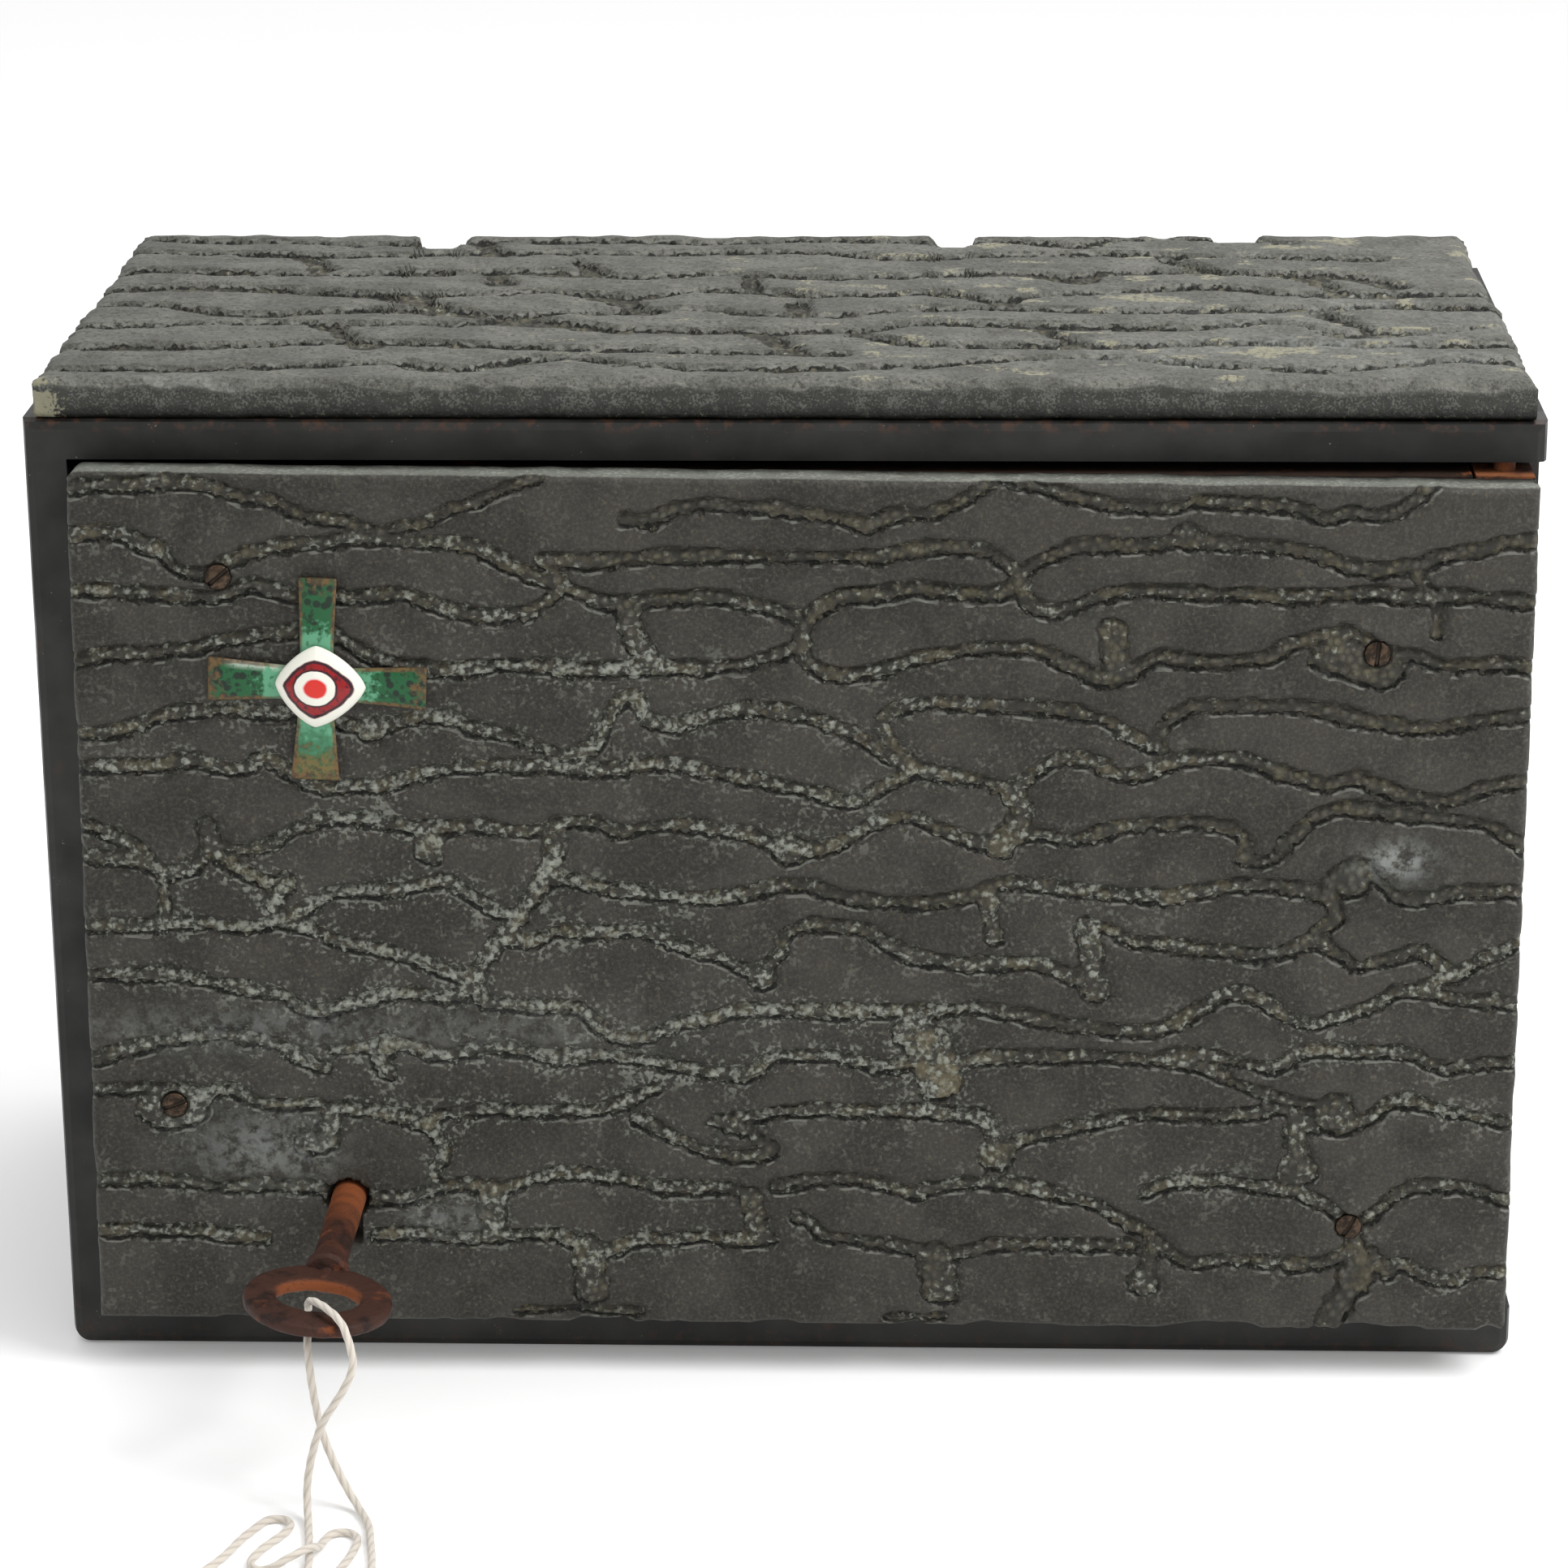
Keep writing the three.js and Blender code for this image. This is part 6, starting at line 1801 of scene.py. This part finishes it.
@dataclass
class Cross:
    """The enamelled cross: four flared arms and a domed slice of layered glass.

    An arm has its heading in degrees, its reach and the half width of its end.
    """

    x: float = -128.3
    z: float = 209.3
    turn: float = 2.7
    back_y: float = -117.3
    thickness: float = 2.0
    root: float = 4.4
    arms: tuple[tuple[float, float, float], ...] = (
        (90.0, 30.2, 5.3), (180.0, 30.0, 6.3), (270.0, 27.8, 6.8), (0.0, 30.5, 6.2),
    )
    arm_square: float = 0.42
    flare: float = 1.15
    arm_swell: float = 0.25
    glass_gap: float = 0.15
    glass_reach: tuple[float, float, float, float] = (13.9, 11.3, 11.2, 12.2)
    red_reach: tuple[float, float, float, float] = (11.0, 7.9, 8.7, 8.9)
    lozenge: float = 1.4
    glass_rise: float = 4.5
    glass_rim: float = 0.8

    def arm(self, heading: float, reach: float, half_end: float) -> Skin:
        """One arm: sections that are flat boxes with rounded front edges, widening from the middle outwards.

        Args:
            heading: its direction in degrees, from +X towards +Z.
            reach: its length.
            half_end: half its width at the end.

        Returns:
            Its skin, about the cross's middle.
        """
        steps, sides = 40, 28
        share, phase = np.linspace(0, 1, steps)[:, None], angles(sides)[None, :]
        half = self.root + (half_end - self.root) * share**self.flare
        half = half * (1 - 0.03 * smooth(share, 0.97, 1.0))
        across = signed_power(np.cos(phase), self.arm_square)
        up = signed_power(np.sin(phase), self.arm_square)
        along, side = reach * share + 0 * phase, half * across
        swell = self.arm_swell * (1 - across**2) * smooth(share, 1.02, 0.9)
        level = -self.thickness / 2 - (self.thickness / 2 - 0.25) * up - swell * np.maximum(up, 0)
        angle = math.radians(heading)
        x = along * math.cos(angle) - side * math.sin(angle)
        z = along * math.sin(angle) + side * math.cos(angle)
        streak = smooth(across, -0.6, -0.85) * smooth(up, 0.2, 0.6)
        streak = streak * smooth(share, 0.9, 0.7) * smooth(share, 0.25, 0.4)
        marks = {
            "along": share + 0 * phase,
            "across": across + 0 * share,
            "lower": np.full(x.shape, float(heading == 270)),
            "flank": smooth(up, 0.35, -0.1) + 0 * share,
            "streak": streak * (heading == 180),
        }
        return tube(np.stack([x, level, z], axis=-1), marks)

    def glass(self) -> Skin:
        """The glass: circles bent to a rounded lozenge with four reaches, on a dome with a short rim.

        The red's border is the same lozenge with smaller reaches: the pth root of the sum of the pth powers
        of x and z over their reaches is 1 there.

        Returns:
            Its skin, about the cross's middle.
        """
        rings, sides = 30, 96
        c, s = (signed_power(part(angles(sides)[None, :]), 2 / self.lozenge) for part in (np.cos, np.sin))
        right, up, left, down = self.glass_reach
        edge_x, edge_z = np.where(c > 0, right, left) * c, np.where(s > 0, up, down) * s
        share = (np.linspace(1, 0.02, rings) ** 0.8)[:, None]
        dome = -self.glass_rim - (self.glass_rise - self.glass_rim) * (1 - share**2.4) ** 0.8
        reach = np.vstack([[[0.94], [0.99]], share])
        x, z = edge_x * reach, edge_z * reach
        level = np.vstack([[[0.0], [-0.25]], dome]) + 0 * c
        right, up, left, down = self.red_reach
        wide, high = np.abs(x) / np.where(x > 0, right, left), np.abs(z) / np.where(z > 0, up, down)
        band = (wide**self.lozenge + high**self.lozenge) ** (1 / self.lozenge)
        marks = {"band": band, "ring": np.hypot((x - 0.3) * 0.92, z * 1.05)}
        return tube(np.stack([x, level, z], axis=-1), marks)

    def build(self) -> None:
        """Makes the two pieces and sets them on the door."""
        plate = self.arm(*self.arms[0])
        for arm in self.arms[1:]:
            plate = plate.joined(self.arm(*arm))
        move = np.array([self.x, self.back_y, self.z])
        plate.points = about_y(plate.points, self.turn) + move
        cross = Piece("enamelled_cross", Body.DOOR, Slot.ENAMELLED_COPPER, ("cross_plate",))
        cross.build(plate, Enamel().material())
        glass = self.glass()
        lift = np.array([0, self.thickness + self.glass_gap, 0])
        glass.points = about_y(glass.points, self.turn) + move - lift
        dome = Piece("cross_glass_slice", Body.DOOR, Slot.CROSS_GLASS, ("cross_glass",))
        dome.build(glass, LayeredGlass().material())


@dataclass
class KeyString:
    """The cotton string: over the key's ring, down to the ground, round a small coil and back."""

    diameter: float = 2.2
    plies: int = 3
    lay_length: float = 15.0
    sides: int = 15
    knot_step: float = 1.5
    point_step: float = 0.9
    smoothings: int = 4
    core: float = 0.96
    ply_rise: float = 0.06
    end_share: float = 0.3
    over_rim: tuple[float, ...] = (
        -127.2, -190.8, 52.8, -126.6, -193.8, 56.8, -124.2, -197.8, 58.6, -120, -202.6, 58.4,
        -116, -207, 56.6, -113.8, -209.6, 52, -112.9, -209.8, 45.3, -115.8, -209.6, 38,
        -121.4, -209.2, 28.8, -124.4, -208.8, 21, -126.6, -208.6, 11, -126.8, -210, 4.6, -126, -215, 1.6,
        -124.4, -226, 1.3, -122.8, -239, 1.2, -122.4, -250, 1.2, -123.4, -258.6, 1.3,
    )
    way_back: tuple[float, ...] = (
        -155.8, -253, 1.6, -151, -245.4, 1.2, -146.2, -236, 1.2, -142.6, -225, 1.2, -139.5, -218.2, 1.2,
        -137.9, -214.6, 1.2, -134.7, -213, 1.2, -131.5, -214.3, 1.2, -130.4, -217.8, 1.2, -132, -222.6, 1.2,
        -136.4, -231, 1.2, -138.6, -238.6, 1.2, -137.2, -242.2, 1.2, -133.4, -243.8, 1.6, -127.6, -241.6, 4.2,
        -122.8, -237, 4.8, -120.9, -231, 2, -120.3, -225.4, 1.2, -119, -222, 1.2, -115.8, -220.5, 1.2,
        -112.6, -222, 1.2, -111.3, -225.3, 1.2, -111.6, -231, 1.2, -112.9, -238, 1.2, -114.6, -244.4, 1.2,
        -113.3, -248, 1.2, -110.2, -249.6, 1.2, -107, -248.2, 1.2, -105.6, -245, 1.2, -106, -238, 1.2,
        -107.6, -227, 1.2, -109.4, -216.6, 1.2,
        -113.2, -207.4, 1.8, -116.4, -204, 5.4, -120.2, -203.2, 13.6, -123, -203, 22.3, -124.6, -202.8, 31,
        -125.8, -202, 40, -126.6, -198.8, 46.8, -127.2, -193.6, 49.2, -127.3, -191, 51.6,
    )
    coil_centre: tuple[float, float] = (-141.0, -262.0)
    enter_angle: float = 11.0
    leave_angle: float = 148.7
    turns: int = 5

    def coil(self) -> np.ndarray:
        """The coil: clockwise turns whose radius steps in by a diameter on the ground and out again above.

        Returns:
            Its points, from where the string enters to where it leaves.
        """
        total = self.turns - (self.leave_angle - self.enter_angle) / 360
        turn = np.linspace(0, total, 36 * self.turns)[2:-2]
        radius_turns = [0, 0.2, 0.9, 1.05, 3.05, 3.2, 3.9, 4.1, total - 0.3, total]
        radii = [17.9, 12.0, 12.0, 9.8, 9.8, 12.0, 12.0, 14.1, 14.1, 17.3]
        radius = np.interp(turn, radius_turns, radii)
        level = np.interp(turn, [0, 1.7, 2.05, 4.24, 4.45, total], [1.2, 1.2, 3.3, 3.3, 1.3, 1.6])
        angle = np.radians(self.enter_angle) - turn * 2 * math.pi
        x, y = self.coil_centre
        return np.stack([x + radius * np.cos(angle), y + radius * np.sin(angle), level], axis=-1)

    def line(self) -> np.ndarray:
        """The middle line, with points evenly spaced, from the ring and back to it.

        Returns:
            Its points in millimetres.
        """
        first, last = (
            catmull_rom(np.array(knots).reshape(-1, 3), self.knot_step)
            for knots in (self.over_rim, self.way_back)
        )
        rough = np.vstack([first, self.coil(), last])
        along = lengths_along(rough)
        at = np.linspace(0, along[-1], int(along[-1] / self.point_step))
        line = np.stack([np.interp(at, along, rough[:, k]) for k in range(3)], axis=-1)
        for _ in range(self.smoothings):
            line[1:-1] = (line[:-2] + 2 * line[1:-1] + line[2:]) / 4
        return line

    def skin(self, line: np.ndarray) -> Skin:
        """The tube: rings across the line whose outline has one bulge for each ply, turning as it goes.

        Args:
            line: the middle line.

        Returns:
            Its skin.
        """
        tangent = np.gradient(line, axis=0)
        tangent /= np.linalg.norm(tangent, axis=1, keepdims=True)
        normal = np.zeros_like(line)
        normal[0] = np.cross(tangent[0], [1.0, 0.0, 0.0])
        for k in range(1, len(line)):
            carried = normal[k - 1] - tangent[k] * (normal[k - 1] @ tangent[k])
            normal[k] = carried / np.linalg.norm(carried)
        normal[0] /= np.linalg.norm(normal[0])
        other = np.cross(tangent, normal)
        along, phase = lengths_along(line)[:, None], angles(self.sides)[None, :]
        ply = np.cos(self.plies * (phase - along * 2 * math.pi / self.lay_length))
        radius = self.diameter / 2 * (self.core + self.ply_rise * ply)
        radius[[0, -1]] *= self.end_share
        ring = (np.cos(phase) * radius)[..., None] * normal[:, None]
        ring = ring + (np.sin(phase) * radius)[..., None] * other[:, None]
        return tube(line[:, None] + ring, {"ply": 0.5 + 0.5 * ply})

    def build(self) -> None:
        line = self.line()
        nodes = ("string_over_rim", "string_return", "string_coil")
        piece = Piece("key_string", Body.DOOR, Slot.COTTON_STRING, nodes)
        obj = piece.build(self.skin(line), Cotton().material())


@dataclass
class Steelwork:
    """The CAD nodes that keep their shape and get a finish."""

    finishes: tuple[tuple[str, Slot, BlackenedSteel | Rust], ...] = (
        ("case", Slot.BLACKENED_STEEL, BlackenedSteel()),
        ("hinge_stile", Slot.RUSTY_STEEL, Rust("rusted stile", bloom=(0.22, 0.075, 0.026), bloom_low=0.5)),
        ("door_tray", Slot.RUSTY_STEEL, Rust(
            "scaled tray", scale=(0.010, 0.009, 0.008), brown=(0.028, 0.016, 0.011), bloom_low=0.62,
        )),
        ("lock_case", Slot.RUSTY_STEEL, Rust(
            "scaled lock case",
            scale=(0.014, 0.011, 0.009), brown=(0.05, 0.026, 0.017),
            bloom=(0.16, 0.06, 0.024), bloom_low=0.57,
        )),
    )

    def build(self) -> None:
        """Gives each node its finish."""
        for node, slot, finish in self.finishes:
            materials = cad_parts[node].data.materials
            materials.clear()
            materials.append(finish.material())
            log.info("%s keeps its solid, in slot %s", node, slot.value)


@dataclass
class Studio:
    """Camera, floor and lights; lengths are in metres but for the camera's position."""

    position: Point = (49.1, -1400.0, 605.2)
    pitch: float = 18.32
    yaw: float = -2.155
    roll: float = 0.4225
    focal_pixels: float = 6000.8
    picture: float = 1932.0
    sensor: float = 36.0
    floor_half: float = 6.0
    floor_colour: Colour = (0.92, 0.92, 0.92)
    floor_glow: float = 0.12
    world_strength: float = 0.85

    def camera(self) -> None:
        """Sets the camera: forward from yaw and pitch, then rolled about it."""
        p, y, r = (math.radians(a) for a in (self.pitch, self.yaw, self.roll))
        forward = Vector((math.sin(y) * math.cos(p), math.cos(y) * math.cos(p), -math.sin(p)))
        level = Vector((math.cos(y), -math.sin(y), 0))
        down = forward.cross(level)
        right = level * math.cos(r) + down * math.sin(r)
        low = down * math.cos(r) - level * math.sin(r)
        data = bpy.data.cameras.new("camera")
        data.sensor_width = self.sensor
        data.lens = self.sensor * self.focal_pixels / self.picture
        data.clip_end = 50
        obj = bpy.data.objects.new("camera", data)
        turn = Matrix((right, -low, -forward)).transposed().to_4x4()
        obj.matrix_world = Matrix.Translation(Vector(self.position) * MM) @ turn
        bpy.context.scene.collection.objects.link(obj)
        bpy.context.scene.camera = obj

    def floor(self) -> None:
        """Lays the pale floor."""
        mesh = bpy.data.meshes.new("floor")
        far = self.floor_half
        mesh.from_pydata([(-far, -far, 0), (far, -far, 0), (far, far, 0), (-far, far, 0)], [], [(0, 1, 2, 3)])
        finish = Finish("pale floor", Metallic=0.0, Roughness=0.9, Emission_Strength=self.floor_glow)
        finish.shader.inputs["Base Color"].default_value = (*self.floor_colour, 1)
        finish.shader.inputs["Emission Color"].default_value = (1, 1, 1, 1)
        mesh.materials.append(finish.material)
        obj = bpy.data.objects.new("floor", mesh)
        bpy.context.scene.collection.objects.link(obj)

    def light(self, name: str, place: Point, target: Point, size: float, power: float) -> None:
        """Adds a square area light that looks at a target.

        Args:
            name: its name.
            place: where it stands.
            target: where it looks.
            size: its side.
            power: its power in watts.
        """
        data = bpy.data.lights.new(name, "AREA")
        data.size = size
        data.energy = power
        obj = bpy.data.objects.new(name, data)
        obj.location = place
        obj.rotation_mode = "QUATERNION"
        obj.rotation_quaternion = (Vector(target) - Vector(place)).to_track_quat("-Z", "Y")
        bpy.context.scene.collection.objects.link(obj)

    def build(self) -> None:
        """Makes the whole studio."""
        scene = bpy.context.scene
        scene.view_settings.view_transform = "Standard"
        self.camera()
        self.floor()
        world = bpy.data.worlds.new("white room")
        world.use_nodes = True
        sky = world.node_tree.nodes["Background"]
        sky.inputs["Color"].default_value = (1, 1, 1, 1)
        sky.inputs["Strength"].default_value = self.world_strength
        scene.world = world
        self.light("high right", (1.15, -0.6, 1.35), (0, 0, 0.15), 0.8, 20)
        self.light("overhead", (0.3, 0.2, 1.5), (0, 0, 0.2), 1.2, 10)


def main() -> None:
    """Builds the studio and every piece."""
    logging.basicConfig(level=logging.INFO, format="%(name)s: %(message)s")
    Studio().build()
    KeyString().build()
    DoorSlab(seed=11, thickness=13.5, channel_depth=2.2, rope_rise=1.45, unevenness=0.11).build()
    TopSlab(seed=23, thickness=11.4, channel_depth=3.4, rope_rise=0.8, unevenness=0.3).build()
    Steelwork().build()
    Key().build()
    Screws().build()
    Cross().build()


if __name__ == "__main__":
    main()
